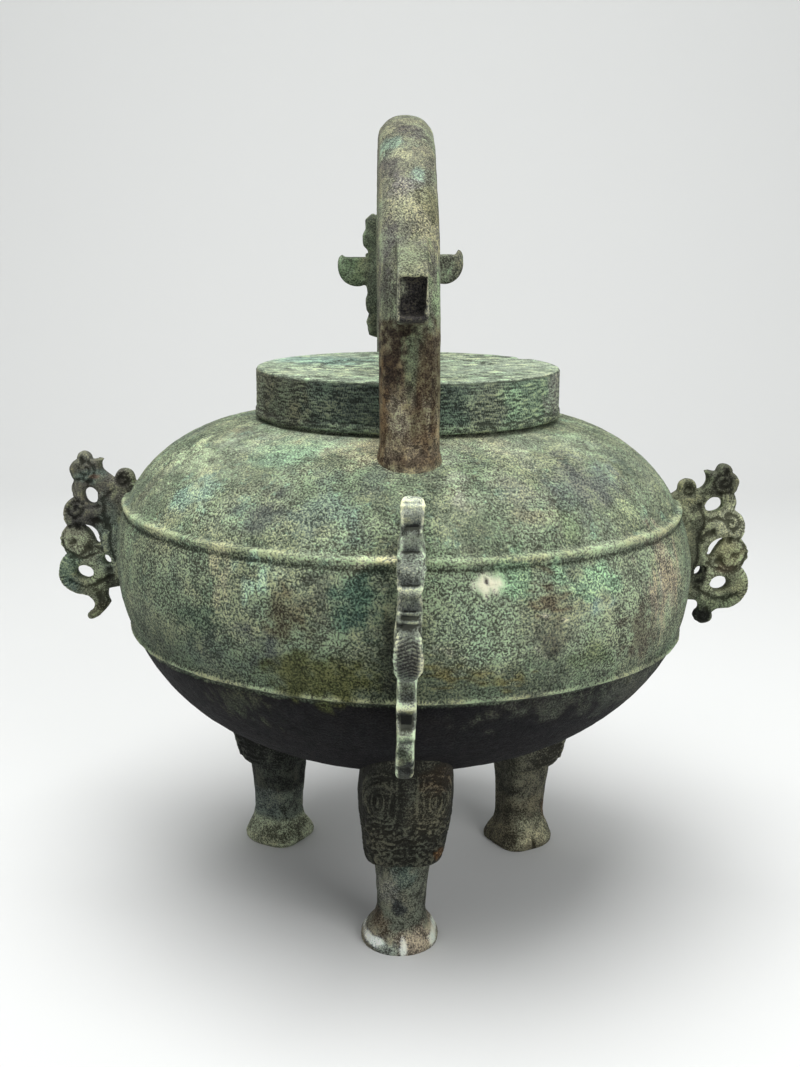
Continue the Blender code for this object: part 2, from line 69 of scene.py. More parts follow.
def node(tree, kind, inputs=None, **settings):
    """Adds a shader node with its settings; an input is a value, a colour, a socket or a whole node."""
    made = tree.nodes.new("ShaderNode" + kind)
    for name, value in settings.items():
        setattr(made, name, value)
    for name, value in (inputs or {}).items():
        if isinstance(value, bpy.types.Node):
            value = value.outputs[0]
        if isinstance(value, bpy.types.NodeSocket):
            tree.links.new(value, made.inputs[name])
        else:
            made.inputs[name].default_value = linear(value) if isinstance(value, str) else value
    return made


def new_material(name):
    """An empty node material and its tree, with the shader already linked to the output."""
    material = bpy.data.materials.new(name)
    material.use_nodes = True
    tree = material.node_tree
    tree.nodes.clear()
    shader = node(tree, "BsdfPrincipled")
    node(tree, "OutputMaterial", {"Surface": shader.outputs["BSDF"]})
    return material, tree, shader


def make_camera():
    """A camera behind the vessel at the height of the lid, looking down a little."""
    data = bpy.data.cameras.new("Camera")
    data.lens, data.sensor_width = CAMERA_LENS, 36.0
    data.clip_start = 0.01
    camera = bpy.data.objects.new("Camera", data)
    bpy.context.scene.collection.objects.link(camera)
    pitch = Matrix.Rotation(math.radians(90 - CAMERA_DIP), 4, "X")
    roll = Matrix.Rotation(math.radians(CAMERA_ROLL), 4, "Z")
    camera.matrix_world = Matrix.Translation(CAMERA_PLACE) @ pitch @ roll
    bpy.context.scene.camera = camera


def make_lamp(name, place, aim, size, power):
    """A square softbox at a place, aimed at a point."""
    data = bpy.data.lights.new(name, "AREA")
    data.size = size
    data.energy = power
    lamp = bpy.data.objects.new(name, data)
    lamp.location = place
    lamp.rotation_euler = (Vector(aim) - Vector(place)).to_track_quat("-Z", "Y").to_euler()
    bpy.context.scene.collection.objects.link(lamp)


def make_studio():
    """A pale paper floor that curves up into a backdrop, a large softbox overhead and a weak fill."""
    bpy.ops.object.select_all(action="DESELECT")
    bpy.ops.mesh.primitive_plane_add(size=FLOOR_SIZE, location=(0, -1.6, 0))
    floor = bpy.context.object
    floor.name = "studio_floor"
    edit("EDGE")
    bpy.ops.mesh.select_all(action="DESELECT")
    bpy.ops.object.mode_set(mode="OBJECT")
    for edge in floor.data.edges:
        edge.select = all(floor.data.vertices[v].co.y > 0 for v in edge.vertices)
    bpy.ops.object.mode_set(mode="EDIT")
    bpy.ops.mesh.spin(steps=24, angle=-math.pi / 2, center=(0, 0.9, BACKDROP_BEND), axis=(1, 0, 0))
    bpy.ops.mesh.extrude_region_move(TRANSFORM_OT_translate={"value": (0, 0, BACKDROP_HEIGHT)})
    close_up()
    bpy.ops.object.shade_smooth()
    settle(floor)
    material, _, shader = new_material("Matt studio paper, pale grey")
    shader.inputs["Base Color"].default_value = linear("#dadbda")
    shader.inputs["Roughness"].default_value = 0.9
    floor.data.materials.append(material)

    for name, (place, aim, size, power) in LAMPS.items():
        make_lamp(name, place, aim, size, power)
    world = bpy.data.worlds.new("Studio")
    world.use_nodes = True
    daylight = world.node_tree.nodes["Background"].inputs
    daylight["Color"].default_value = linear("#eceeee")
    daylight["Strength"].default_value = 0.46
    bpy.context.scene.world = world
    bpy.context.scene.view_settings.view_transform = "Standard"


# ---------------------------------------------------------------- patina


def patina(name, ground, coats=(), levels=(), grain=1.0, lace=0.0, laid=0.0, pale=("#cfcab0", "#c1ceb8"),
            calm=(1000.0, 1.0), roughness=0.8):
    """Corroded cast bronze: a ground skin, coats of copper salts, listed patches, then pits and grains.

    coats: colour, patch size in mm, the noise where the coat begins and is whole, and its strength.
    levels: colour, height below which it lies in mm, softness, how far its edge wanders, and strength.
    calm: the height in mm above which pits and grains stand out less, and by what share.
    """
    material, tree, shader = new_material(name)
    where = node(tree, "TexCoord").outputs["Object"]
    up = node(tree, "SeparateXYZ", {"Vector": where}).outputs["Z"]
    wander = node(tree, "TexNoise", {"Vector": where, "Scale": 1000 / 9.0, "Detail": 5.0, "Roughness": 0.65})
    skin = node(tree, "MixRGB", {"Fac": 0.0, "Color1": ground[0], "Color2": ground[1]})
    for colour, size, low, high, strength in ((ground[1], 26.0, 0.42, 0.58, 1.0),) + tuple(coats):
        cloud = node(tree, "TexNoise", {"Vector": where, "Scale": 1000 / size, "Detail": 5.0, "Roughness": 0.64})
        mask = node(tree, "MapRange", {"Value": cloud, "From Min": low, "From Max": high, "To Max": strength},
                    interpolation_type="SMOOTHSTEP")
        skin = node(tree, "MixRGB", {"Fac": mask, "Color1": skin, "Color2": colour})
    for colour, level, soft, roam, strength in levels:
        edge = node(tree, "Math", {0: wander, 1: roam * MM * 2, 2: up}, operation="MULTIPLY_ADD")
        start = (level + roam) * MM
        mask = node(tree, "MapRange", {"Value": edge, "From Min": start + soft * MM, "From Max": start - soft * MM,
                                       "To Max": strength}, interpolation_type="SMOOTHSTEP")
        skin = node(tree, "MixRGB", {"Fac": mask, "Color1": skin, "Color2": colour})
    paint = node(tree, "Attribute", attribute_name="paint").outputs
    skin = node(tree, "MixRGB", {"Fac": paint["Alpha"], "Color1": skin, "Color2": paint["Color"]})

    # The grit is about 0.7 mm across, the knots 3 mm and the clumps 10 mm: crystals and pits of old
    # copper salts. They stand out more in some places than in others.
    grit = node(tree, "TexNoise", {"Vector": where, "Scale": 1000 / 0.7, "Detail": 2.0, "Roughness": 0.8})
    knots = node(tree, "TexNoise", {"Vector": where, "Scale": 1000 / 3.2, "Detail": 3.0, "Roughness": 0.65})
    clumps = node(tree, "TexNoise", {"Vector": where, "Scale": 1000 / 10.5, "Detail": 3.0, "Roughness": 0.6})
    relief = node(tree, "Attribute", attribute_name="relief").outputs["Fac"]
    shares = ((grit, 5.2), (knots, 1.3), (clumps, 1.7))
    middle = -0.5 * sum(share for _, share in shares) * grain
    height = node(tree, "Math", {0: relief, 1: middle}, operation="ADD")
    for cloud, share in shares:
        height = node(tree, "Math", {0: cloud, 1: share * grain, 2: height}, operation="MULTIPLY_ADD")
    if laid:
        flat = node(tree, "Mapping", {"Vector": where, "Scale": (1.0, 1.0, 5.0)})
        dashes = node(tree, "TexNoise", {"Vector": flat, "Scale": 1000 / 4.6, "Detail": 2.0, "Roughness": 0.6})
        dashes = node(tree, "Math", {0: dashes, 1: 0.5}, operation="SUBTRACT")
        height = node(tree, "Math", {0: dashes, 1: laid, 2: height}, operation="MULTIPLY_ADD")
    if lace:
        # Cast curls of lines 1.25 mm apart, which the eye reads as a fine broken lace.
        wrap = node(tree, "UVMap", uv_map="Wrap")
        shake = node(tree, "TexNoise", {"Vector": wrap, "Scale": 1000 / 2.6, "Detail": 2.0}).outputs["Color"]
        shake = node(tree, "VectorMath", {0: shake, "Scale": 2.0 * MM}, operation="SCALE")
        wrap = node(tree, "VectorMath", {0: wrap, 1: shake}, operation="ADD")
        cells = node(tree, "TexVoronoi", {"Vector": wrap, "Scale": 1000 / 3.0}, voronoi_dimensions="2D")
        out = node(tree, "VectorMath", {0: wrap, 1: cells.outputs["Position"]}, operation="SUBTRACT")
        reach = node(tree, "VectorMath", {0: out}, operation="LENGTH").outputs["Value"]
        parts = node(tree, "SeparateXYZ", {"Vector": out}).outputs
        turn = node(tree, "Math", {0: parts["Y"], 1: parts["X"]}, operation="ARCTAN2")
        spiral = node(tree, "Math", {0: reach, 1: math.tau * 1000 / 1.25, 2: turn}, operation="MULTIPLY_ADD")
        line = node(tree, "Math", {0: spiral}, operation="SINE")
        height = node(tree, "Math", {0: line, 1: lace, 2: height}, operation="MULTIPLY_ADD")
    wear = node(tree, "TexNoise", {"Vector": where, "Scale": 1000 / 31.0, "Detail": 2.0})
    stir = node(tree, "MapRange", {"Value": wear, "From Min": 0.36, "From Max": 0.62,
                                   "To Min": 1.0, "To Max": 1.65})
    still = node(tree, "MapRange", {"Value": up, "From Min": (calm[0] - 3) * MM, "From Max": (calm[0] + 3) * MM,
                                    "To Min": 1.0, "To Max": calm[1]})
    stir = node(tree, "Math", {0: stir, 1: still}, operation="MULTIPLY")
    shown = node(tree, "Math", {0: height, 1: stir}, operation="MULTIPLY")
    pits = node(tree, "MapRange", {"Value": shown, "From Min": -0.08, "From Max": -0.80, "To Max": 0.9},
                interpolation_type="SMOOTHSTEP")
    grains = node(tree, "MapRange", {"Value": shown, "From Min": 0.12, "From Max": 0.95, "To Max": 0.85},
                  interpolation_type="SMOOTHSTEP")
    dark = node(tree, "MixRGB", {"Fac": 1.0, "Color1": skin, "Color2": "#82807a"}, blend_type="MULTIPLY")
    drifts = node(tree, "TexNoise", {"Vector": where, "Scale": 1000 / 16.0})
    tint = node(tree, "MapRange", {"Value": drifts, "From Min": 0.42, "From Max": 0.58})
    salt = node(tree, "MixRGB", {"Fac": tint, "Color1": pale[0], "Color2": pale[1]})
    faded = node(tree, "HueSaturation", {"Saturation": 0.8, "Color": skin})
    strong = node(tree, "VectorMath", {0: faded, 1: (3.9, 3.9, 3.9), 2: (0.005, 0.005, 0.005)},
                  operation="MULTIPLY_ADD")
    light = node(tree, "MixRGB", {"Fac": 1.0, "Color1": strong, "Color2": salt}, blend_type="MULTIPLY")
    skin = node(tree, "MixRGB", {"Fac": pits, "Color1": skin, "Color2": dark})
    skin = node(tree, "MixRGB", {"Fac": grains, "Color1": skin, "Color2": light})

    rough = node(tree, "MapRange", {"Value": knots, "From Min": 0.3, "From Max": 0.7, "To Min": roughness - 0.12,
                                    "To Max": roughness + 0.10})
    lift = node(tree, "Bump", {"Height": height, "Distance": 0.22 * MM, "Strength": 0.9})
    tree.links.new(skin.outputs[0], shader.inputs["Base Color"])
    tree.links.new(rough.outputs[0], shader.inputs["Roughness"])
    tree.links.new(lift.outputs[0], shader.inputs["Normal"])
    shader.inputs["Specular IOR Level"].default_value = 0.18
    return material


# ---------------------------------------------------------------- meshes


def lumps(points, size, seed=0.0):
    """Smooth noise from -1 to 1 at points in mm, with swellings of a size in mm."""
    return np.array([noise.noise((x / size + seed, y / size, z / size)) for x, y, z in points.tolist()])


def curls(u, v, size, pitch):
    """A field of small spirals, alternately left and right handed, over a flat pattern in mm."""
    best = np.full(len(u), 1e9)
    wave = np.zeros(len(u))
    column, row = np.floor(u / size), np.floor(v / size)
    for i in (-1, 0, 1):
        for j in (-1, 0, 1):
            a, b = column + i, row + j
            stray = np.sin(a * 12.9898 + b * 78.233) * 43758.5453
            stray -= np.floor(stray)
            other = np.sin(a * 39.346 + b * 11.135) * 24634.6345
            other -= np.floor(other)
            du = u - (a + 0.5 + 0.5 * (stray - 0.5)) * size
            dv = v - (b + 0.5 + 0.5 * (other - 0.5)) * size
            far = np.hypot(du, dv)
            hand = np.where((a + b) % 2 == 0, 1.0, -1.0)
            here = np.sin(math.tau * far / pitch + hand * np.arctan2(dv, du))
            nearer = far < best
            wave = np.where(nearer, here, wave)
            best = np.minimum(best, far)
    return wave


def bell(x, width):
    """1 where x is 0, falling smoothly to nearly 0 at twice the width."""
    return np.exp(-((x / width) ** 2))


def step(x, low, high):
    """A smooth step from 0 at low to 1 at high; low may be the greater."""
    t = np.clip((x - low) / (high - low), 0.0, 1.0)
    return t * t * (3 - 2 * t)


def read(piece):
    """A piece's points in mm, and their normals."""
    found = []
    for what in ("co", "normal"):
        values = np.empty(len(piece.data.vertices) * 3)
        piece.data.vertices.foreach_get(what, values)
        found.append(values.reshape(-1, 3))
    return found[0] / MM, found[1]


def write(piece, points, relief, paint):
    """Moves a piece's points, and keeps two things for the patina to read.

    relief: how proud (+) or sunk (-) each point is.
    paint: the colour of the listed patches, and how thick they lie.
    """
    piece.data.vertices.foreach_set("co", (points * MM).ravel())
    piece.data.update()
    for name, kind, field, values in (
        ("relief", "FLOAT", "value", relief), ("paint", "FLOAT_COLOR", "color", paint),
    ):
        attribute = piece.data.attributes.new(name, kind, "POINT")
        attribute.data.foreach_set(field, values.astype(np.float32).ravel())


def turn_about_axis(points, degrees):
    """Turns points about the vessel's own axis."""
    turn = math.radians(degrees)
    x, y = points[:, 0].copy(), points[:, 1].copy()
    points[:, 0] = x * math.cos(turn) - y * math.sin(turn)
    points[:, 1] = x * math.sin(turn) + y * math.cos(turn)


def lay(paint, colour, mask):
    """Lays a colour over the paint where a mask from 0 to 1 says."""
    alpha = np.clip(mask, 0, 1)[:, None]
    under = paint[:, 3:] * (1 - alpha)
    paint[:, :3] = (linear(colour)[:3] * alpha + paint[:, :3] * under) / np.maximum(alpha + under, 1e-6)
    paint[:, 3:] = alpha + under


def warped(points, seed):
    """Points in mm pushed about by noise, so that round patches laid on them come out irregular."""
    push = np.zeros(points.shape)
    for size, reach in ((17, 9.0), (6, 3.5)):
        push += reach * np.array([noise.noise_vector((x / size + seed, y / size, z / size))
                                  for x, y, z in points.tolist()])
    return points + push


def patch(points, middle, radii, ragged):
    """A mask that is 1 inside an ellipsoid in mm, its edge broken up by noise."""
    far = np.sqrt((((points - middle) / radii) ** 2).sum(1))
    return step(far + ragged, 1.4, 0.5)


def lay_patches(paint, points, patches, edges, within=1.0, still=None):
    """Lays patches of (colour, middle, radii, strength, kind of edge), and says where the crusts are.

    edges: the noise that breaks each kind of edge up; a patch that names no kind is a plain "patch".
    still: the points before they were warped, for the crusts, the patches of strength 1.
    """
    crusts = 0.0
    for colour, middle, radii, strength, *kind in patches:
        crust = strength == 1
        where = still if crust and still is not None else points
        mask = patch(where, middle, radii, edges[kind[0] if kind else "patch"]) * within
        lay(paint, colour, strength * mask)
        crusts = crusts + crust * mask
    return crusts


def turned(name, profile, steps):
    """A vertex extruded along a profile of (radius, height) points and turned about Z."""
    bpy.ops.object.select_all(action="DESELECT")
    bpy.ops.mesh.primitive_plane_add(size=1 * MM, location=(0, 0, 0))
    piece = bpy.context.object
    piece.name = name
    edit("VERT")
    bpy.ops.mesh.select_all(action="SELECT")
    bpy.ops.mesh.merge(type="CENTER")
    bpy.ops.transform.translate(value=(profile[0][0] * MM, 0, profile[0][1] * MM))
    for (r0, z0), (r1, z1) in zip(profile, profile[1:]):
        move = {"value": ((r1 - r0) * MM, 0, (z1 - z0) * MM)}
        bpy.ops.mesh.extrude_region_move(TRANSFORM_OT_translate=move)
    bpy.ops.object.mode_set(mode="OBJECT")
    apply(piece, "SCREW", axis="Z", steps=steps, render_steps=steps, use_merge_vertices=True,
          merge_threshold=0.01 * MM)
    bpy.ops.object.mode_set(mode="EDIT")
    close_up()
    bpy.ops.object.shade_smooth()
    return piece


def close_up():
    """Merges doubled points of the piece being edited, turns its faces outwards and leaves edit mode."""
    bpy.ops.mesh.select_all(action="SELECT")
    bpy.ops.mesh.remove_doubles(threshold=0.01 * MM)
    bpy.ops.mesh.normals_make_consistent(inside=False)
    bpy.ops.object.mode_set(mode="OBJECT")


def edit(kind):
    """Starts to edit the active piece by its points, edges or faces."""
    bpy.ops.object.mode_set(mode="EDIT")
    bpy.ops.mesh.select_mode(type=kind)


def select_only(*pieces):
    """Selects these pieces and nothing else, with the first one active."""
    bpy.ops.object.select_all(action="DESELECT")
    for piece in pieces:
        piece.select_set(True)
    bpy.context.view_layer.objects.active = pieces[0]


def apply(piece, kind, **settings):
    """Adds one modifier and applies it."""
    modifier = piece.modifiers.new(kind.title(), kind)
    for name, value in settings.items():
        setattr(modifier, name, value)
    select_only(piece)
    bpy.ops.object.modifier_apply(modifier=modifier.name)


def settle(piece):
    """Puts the object at the origin, unturned and unscaled, with its place in its mesh."""
    select_only(piece)
    bpy.ops.object.transform_apply(location=True, rotation=True, scale=True)
    return piece


def ball(place, radii, turn=(0, 0, 0)):
    """An ellipsoid with its radii along X, Y and Z before it is turned by three angles in degrees."""
    bpy.ops.object.select_all(action="DESELECT")
    bpy.ops.mesh.primitive_uv_sphere_add(segments=28, ring_count=16, radius=1.0)
    made = bpy.context.object
    made.scale = [r * MM for r in radii]
    made.rotation_euler = [math.radians(a) for a in turn]
    made.location = [c * MM for c in place]
    return settle(made)


def balls(rows):
    """Ellipsoids of (middle, radii, turn); one that stands off the middle gets a twin across it."""
    return [ball((side * x, y, z), radii, (tilt, side * yaw, side * spin))
            for (x, y, z), radii, (tilt, yaw, spin) in rows for side in ((1, -1) if x else (1,))]


def rod(start, end, radius):
    """A round rod between two points."""
    start, end = Vector(start) * MM, Vector(end) * MM
    bpy.ops.object.select_all(action="DESELECT")
    bpy.ops.mesh.primitive_cylinder_add(vertices=32, radius=radius * MM, depth=(end - start).length)
    made = bpy.context.object
    made.location = (start + end) / 2
    made.rotation_euler = (end - start).to_track_quat("Z", "Y").to_euler()
    return settle(made)


def cut(piece, cutter):
    """Takes one solid out of another and throws it away."""
    apply(piece, "BOOLEAN", operation="DIFFERENCE", solver="EXACT", object=cutter)
    bpy.data.objects.remove(cutter)


def plate(outlines, thickness, edge):
    """A flat plate in the XZ plane inside closed outlines of (x, z), its edges rounded by a bevel."""
    data = bpy.data.curves.new("plate", "CURVE")
    data.dimensions = "2D"
    data.fill_mode = "BOTH"
    data.extrude = (thickness / 2 - edge) * MM
    data.bevel_depth = edge * MM
    data.bevel_resolution = 2
    data.offset = -edge * MM
    for outline in outlines:
        spline = data.splines.new("POLY")
        spline.points.add(len(outline) - 1)
        spline.use_cyclic_u = True
        for point, (x, z) in zip(spline.points, outline):
            point.co = (x * MM, z * MM, 0, 1)
    made = bpy.data.objects.new("plate", data)
    bpy.context.scene.collection.objects.link(made)
    select_only(made)
    bpy.ops.object.convert(target="MESH")
    made = bpy.context.object
    made.rotation_euler = (math.pi / 2, 0, 0)
    settle(made)
    bpy.ops.object.mode_set(mode="EDIT")
    close_up()
    return made


def fuse(name, parts, voxel, smoothing=2):
    """Joins overlapping solids into one skin, as wax parts are joined before casting."""
    select_only(*parts)
    if len(parts) > 1:
        bpy.ops.object.join()
    piece = bpy.context.object
    piece.name = name
    apply(piece, "REMESH", mode="VOXEL", voxel_size=voxel * MM)
    apply(piece, "SMOOTH", factor=0.5, iterations=smoothing)
    bpy.ops.object.shade_smooth()
    return piece


def stroke_distance(u, v, line):
    """The distance from points (u, v) to a line of points, all in mm."""
    far = np.full(len(u), 1e9)
    for (ax, ay), (bx, by) in zip(line, line[1:]):
        dx, dy = bx - ax, by - ay
        t = np.clip(((u - ax) * dx + (v - ay) * dy) / max(dx * dx + dy * dy, 1e-9), 0, 1)
        far = np.minimum(far, np.hypot(u - ax - t * dx, v - ay - t * dy))
    return far


def grooves(u, v, lines, width):
    """Where lines are cut: 1 along each of them, falling to 0 beside it."""
    return np.clip(sum(bell(stroke_distance(u, v, line), width) for line in lines), 0, 1)


def scroll(middle, start, end, first, turns):
    """A spiral line round a middle, from one radius to another, from an angle in degrees."""
    count = max(6, int(abs(turns) * 16))
    line = []
    for i in range(count + 1):
        radius = start + (end - start) * i / count
        angle = math.radians(first) + math.tau * turns * i / count
        line.append((middle[0] + radius * math.cos(angle), middle[1] + radius * math.sin(angle)))
    return line


def finish(piece, node_name, material):
    """Gives a piece its finish, puts it under the root body and hides the cast member it stands for."""
    piece.data.materials.clear()
    piece.data.materials.append(material)
    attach(piece, "root")
    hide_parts(node_name)


# ---------------------------------------------------------------- pot

BELLY_RADIUS = 124.2
BELLY_HEIGHT = 149.1
SHOULDER_RISE, SHOULDER_POWER = 63.0, 3.85
BOWL_DEPTH, BOWL_POWER = 85.1, 2.56
WALL = 3.0
NECK_RADIUS, NECK_FOOT, NECK_TOP = 61.0, 208.6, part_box("body")[1][2] / MM
UPPER_BAND, LOWER_BAND = 173.5, 121.2
BAND_TILT = -0.0087  # the bands sink towards +X
SPOUT_HOLE_RADIUS, SPOUT_HOLE_LEVEL = 7.5, 181.0
# A star of pale crust on the back with a dark hole in it: middle and radii of each.
STAR, STAR_HOLE = ((30.3, -118, 165.5), (4.9, 4, 4.2)), ((30.1, -118, 166.4), (0.9, 3, 1.6))
WRAP_WIDTH = 780.0  # about the belly's girth


def belly_point(t, inset=0.0):
    """The belly's (radius, height) at a parameter from -pi/2, the bottom, past 0, the widest circle."""
    rise, power = (SHOULDER_RISE, SHOULDER_POWER) if t > 0 else (BOWL_DEPTH, BOWL_POWER)
    radius = (BELLY_RADIUS - inset) * max(math.cos(t), 0.0) ** (2 / power)
    return radius, BELLY_HEIGHT + (rise - inset) * math.sin(t)


BELLY_T = np.linspace(-math.pi / 2, 1.45, 4000)
BELLY_CURVE = np.array([belly_point(t) for t in BELLY_T])
BELLY_ARC = np.concatenate([[0.0], np.cumsum(np.hypot(*np.diff(BELLY_CURVE, axis=0).T))])
BELLY_ARC -= np.interp(0.0, BELLY_T, BELLY_ARC)
BOWL_HALF, SHOULDER_HALF = slice(0, 2100), slice(2000, None)  # the curve's halves, which overlap a little


def belly_radius(height):
    """The belly's radius at a height."""
    return np.interp(height, BELLY_CURVE[:, 1], BELLY_CURVE[:, 0])


def arc_at(height):
    """How far along the belly's curve a height lies, from the widest circle up."""
    return float(np.interp(height, BELLY_CURVE[:, 1], BELLY_ARC))


def pot_profile(neck_arc):
    """The pot's section from the axis up its inside, over the lip and down its outside to the axis."""
    upper, lower = arc_at(UPPER_BAND), arc_at(LOWER_BAND)
    rows = []
    for start, end, pitch in (  # close rows at the two bands, wide ones on the plain bowl
        (neck_arc, upper + 3.6, 1.36), (upper + 3.6, upper - 4.0, 0.58), (upper - 4.0, lower + 3.2, 1.36),
        (lower + 3.2, lower - 3.6, 0.62), (lower - 3.6, lower - 40, 2.6), (lower - 40, BELLY_ARC[0], 5.5),
    ):
        count = max(1, round((start - end) / pitch))
        rows += [start + (end - start) * i / count for i in range(count)]
    outside = [tuple(float(np.interp(row, BELLY_ARC, BELLY_CURVE[:, axis])) for axis in (0, 1)) for row in rows]
    inside = [belly_point(-math.pi / 2 + (math.pi / 2 + 1.30) * i / 13, WALL) for i in range(13)]
    inside = [(max(r, 0.0), z) for r, z in inside if r < BELLY_RADIUS]
    bore = NECK_RADIUS - WALL
    lip = [(bore, NECK_FOOT), (bore, NECK_TOP - 0.8), (bore + 0.7, NECK_TOP), (NECK_RADIUS - 0.7, NECK_TOP),
           (NECK_RADIUS, NECK_TOP - 0.8)]
    return inside + lip + outside + [(0.0, BELLY_HEIGHT - BOWL_DEPTH)]


def make_pot():
    """The hollow pot, its two raised bands, its worn ground of curls and its corroded skin."""
    neck_arc = float(np.interp(-NECK_RADIUS, -BELLY_CURVE[SHOULDER_HALF, 0], BELLY_ARC[SHOULDER_HALF]))
    pot = turned("bronze_pot", pot_profile(neck_arc), 600)
    points, normals = read(pot)
    radius = np.hypot(points[:, 0], points[:, 1])
    lift = (points[:, 2] - BELLY_HEIGHT) / np.where(points[:, 2] > BELLY_HEIGHT, SHOULDER_RISE, BOWL_DEPTH)
    t = np.arcsin(np.clip(lift, -1, 1))
    arc = np.interp(t, BELLY_T, BELLY_ARC)
    outer = (np.abs(radius - belly_radius(points[:, 2])) < 0.3) & (points[:, 2] < 209.5)
    outer |= (points[:, 2] < 90) & (normals[:, 2] < -0.05)
    azimuth = np.arctan2(points[:, 0], -points[:, 1])  # 0 at the back, positive to the right
    u = (azimuth / math.tau + 0.5) * WRAP_WIDTH

    relief = np.zeros(len(points))
    bands = np.zeros(len(points))
    for crown, height, width in ((UPPER_BAND, 1.9, 1.55), (LOWER_BAND, 1.4, 1.3)):
        sway = lumps(points * [1, 1, 0], 22.0, crown) * 0.35
        off = arc - arc_at(crown) - BAND_TILT * points[:, 0] - sway
        bands += height * bell(off, width)
        bands -= 0.45 * bell(off + width + 1.5, 0.9) + 0.25 * bell(off - width - 1.6, 1.0)
        relief += 0.35 * bell(off, width * 0.8) - 0.5 * bell(off + width + 1.3, 1.0)
    lower = arc_at(LOWER_BAND)
    ornament = step(arc, neck_arc - 3, neck_arc - 7) * step(arc, lower - 6, lower + 4)
    ornament *= 1 - 0.9 * bell(arc - arc_at(UPPER_BAND), 4.2)
    fine, broad = lumps(points, 2.6, 1.0), lumps(points, 6.5, 2.0)
    wear = step(lumps(points, 26.0, 5.0), -0.45, 0.25)
    pattern = curls(u + 1.3 * broad, arc + 1.3 * fine, 4.6, 2.9) * ornament * wear
    corrosion = fine * 0.5 + broad
    skin = 0.11 * pattern + 0.17 * corrosion + 0.5 * lumps(points, 48.0, 3.0)
    relief += 0.14 * pattern + 0.30 * corrosion
    relief += 0.25 * step(bands, 0.6, 1.3)
    relief += 1.8 * patch(points, *STAR, 0.8 * broad) * (1 - patch(points, *STAR_HOLE, 0.0))
    paint = paint_pot(points, broad, fine, bands)
    points += normals * np.where(outer, bands + skin, 0.0)[:, None]
    drift = np.interp(points[:, 2], [90, 121, 149, 174, 205], [0.8, 1.0, 0.0, -1.4, -1.6])  # it is cast askew
    points[:, 0] += drift * step(points[:, 2], 212, 205)
    write(pot, points, np.where(outer, relief, -0.3), paint)
    wrap_uv(pot, u, arc + 150.0)

    open_spout_hole(pot)
    return pot


def open_spout_hole(pot):
    """Takes the skin inside a circle off both sides of the front wall and bridges the two rims."""
    select_only(pot)
    edit("FACE")
    bpy.ops.mesh.select_all(action="DESELECT")
    bpy.ops.object.mode_set(mode="OBJECT")
    for face in pot.data.polygons:
        x, y, z = (c / MM for c in face.center)
        face.select = y > 90 and math.hypot(x, z - SPOUT_HOLE_LEVEL) < SPOUT_HOLE_RADIUS - 0.4
    bpy.ops.object.mode_set(mode="EDIT")
    bpy.ops.mesh.delete(type="FACE")
    bpy.ops.mesh.select_mode(type="EDGE")
    bpy.ops.mesh.select_all(action="DESELECT")
    bpy.ops.mesh.select_non_manifold()
    bpy.ops.object.mode_set(mode="OBJECT")
    for vertex in pot.data.vertices:
        if vertex.select:
            x, y, z = (c / MM for c in vertex.co)
            rise = z - SPOUT_HOLE_LEVEL
            grow = SPOUT_HOLE_RADIUS / max(math.hypot(x, rise), 0.1)
            vertex.co = (x * grow * MM, y * MM, (SPOUT_HOLE_LEVEL + rise * grow) * MM)
    bpy.ops.object.mode_set(mode="EDIT")
    bpy.ops.mesh.bridge_edge_loops()
    bpy.ops.object.mode_set(mode="OBJECT")


def wrap_uv(piece, u, v):
    """A map of the surface unrolled round Z, in metres, with its seam at the front."""
    layer = piece.data.uv_layers.new(name="Wrap")
    corners = np.empty(len(piece.data.loops), np.int64)
    piece.data.loops.foreach_get("vertex_index", corners)
    starts = np.empty(len(piece.data.polygons), np.int64)
    piece.data.polygons.foreach_get("loop_start", starts)
    sizes = np.empty(len(piece.data.polygons), np.int64)
    piece.data.polygons.foreach_get("loop_total", sizes)
    across = u[corners]
    first = np.repeat(across[starts], sizes)
    across = across + WRAP_WIDTH * np.round((first - across) / WRAP_WIDTH)  # faces over the seam stay whole
    layer.data.foreach_set("uv", (np.stack([across, v[corners]], 1) * MM).ravel())


POT_PATINA = dict(
    ground=("#6d7865", "#828c77"),
    coats=(
        ("#909b85", 34.0, 0.51, 0.61, 0.7),
        ("#646f67", 23.0, 0.54, 0.64, 0.6),
        ("#959a82", 15.0, 0.57, 0.67, 0.7),
        ("#5f5f56", 18.5, 0.57, 0.65, 0.5),
        ("#86a290", 11.0, 0.59, 0.68, 0.6),
        ("#6e6654", 8.0, 0.62, 0.70, 0.6),
        ("#8fae96", 3.4, 0.60, 0.70, 0.6),
        ("#56503f", 3.0, 0.60, 0.70, 0.6),
    ),
    levels=(
        ("#6b7565", 171.0, 3.0, 2.0, 0.6),
        ("#4e584b", 138.0, 9.0, 10.0, 0.8),
        # The last level paints the bowl below the lower band near black: dark patina and painted shade of its
        # underside.
        ("#0c0b10", 118.4, 0.8, 1.6, 1.0),
    ),
    lace=0.45,
    laid=1.5,
    calm=(173.0, 0.78),
)
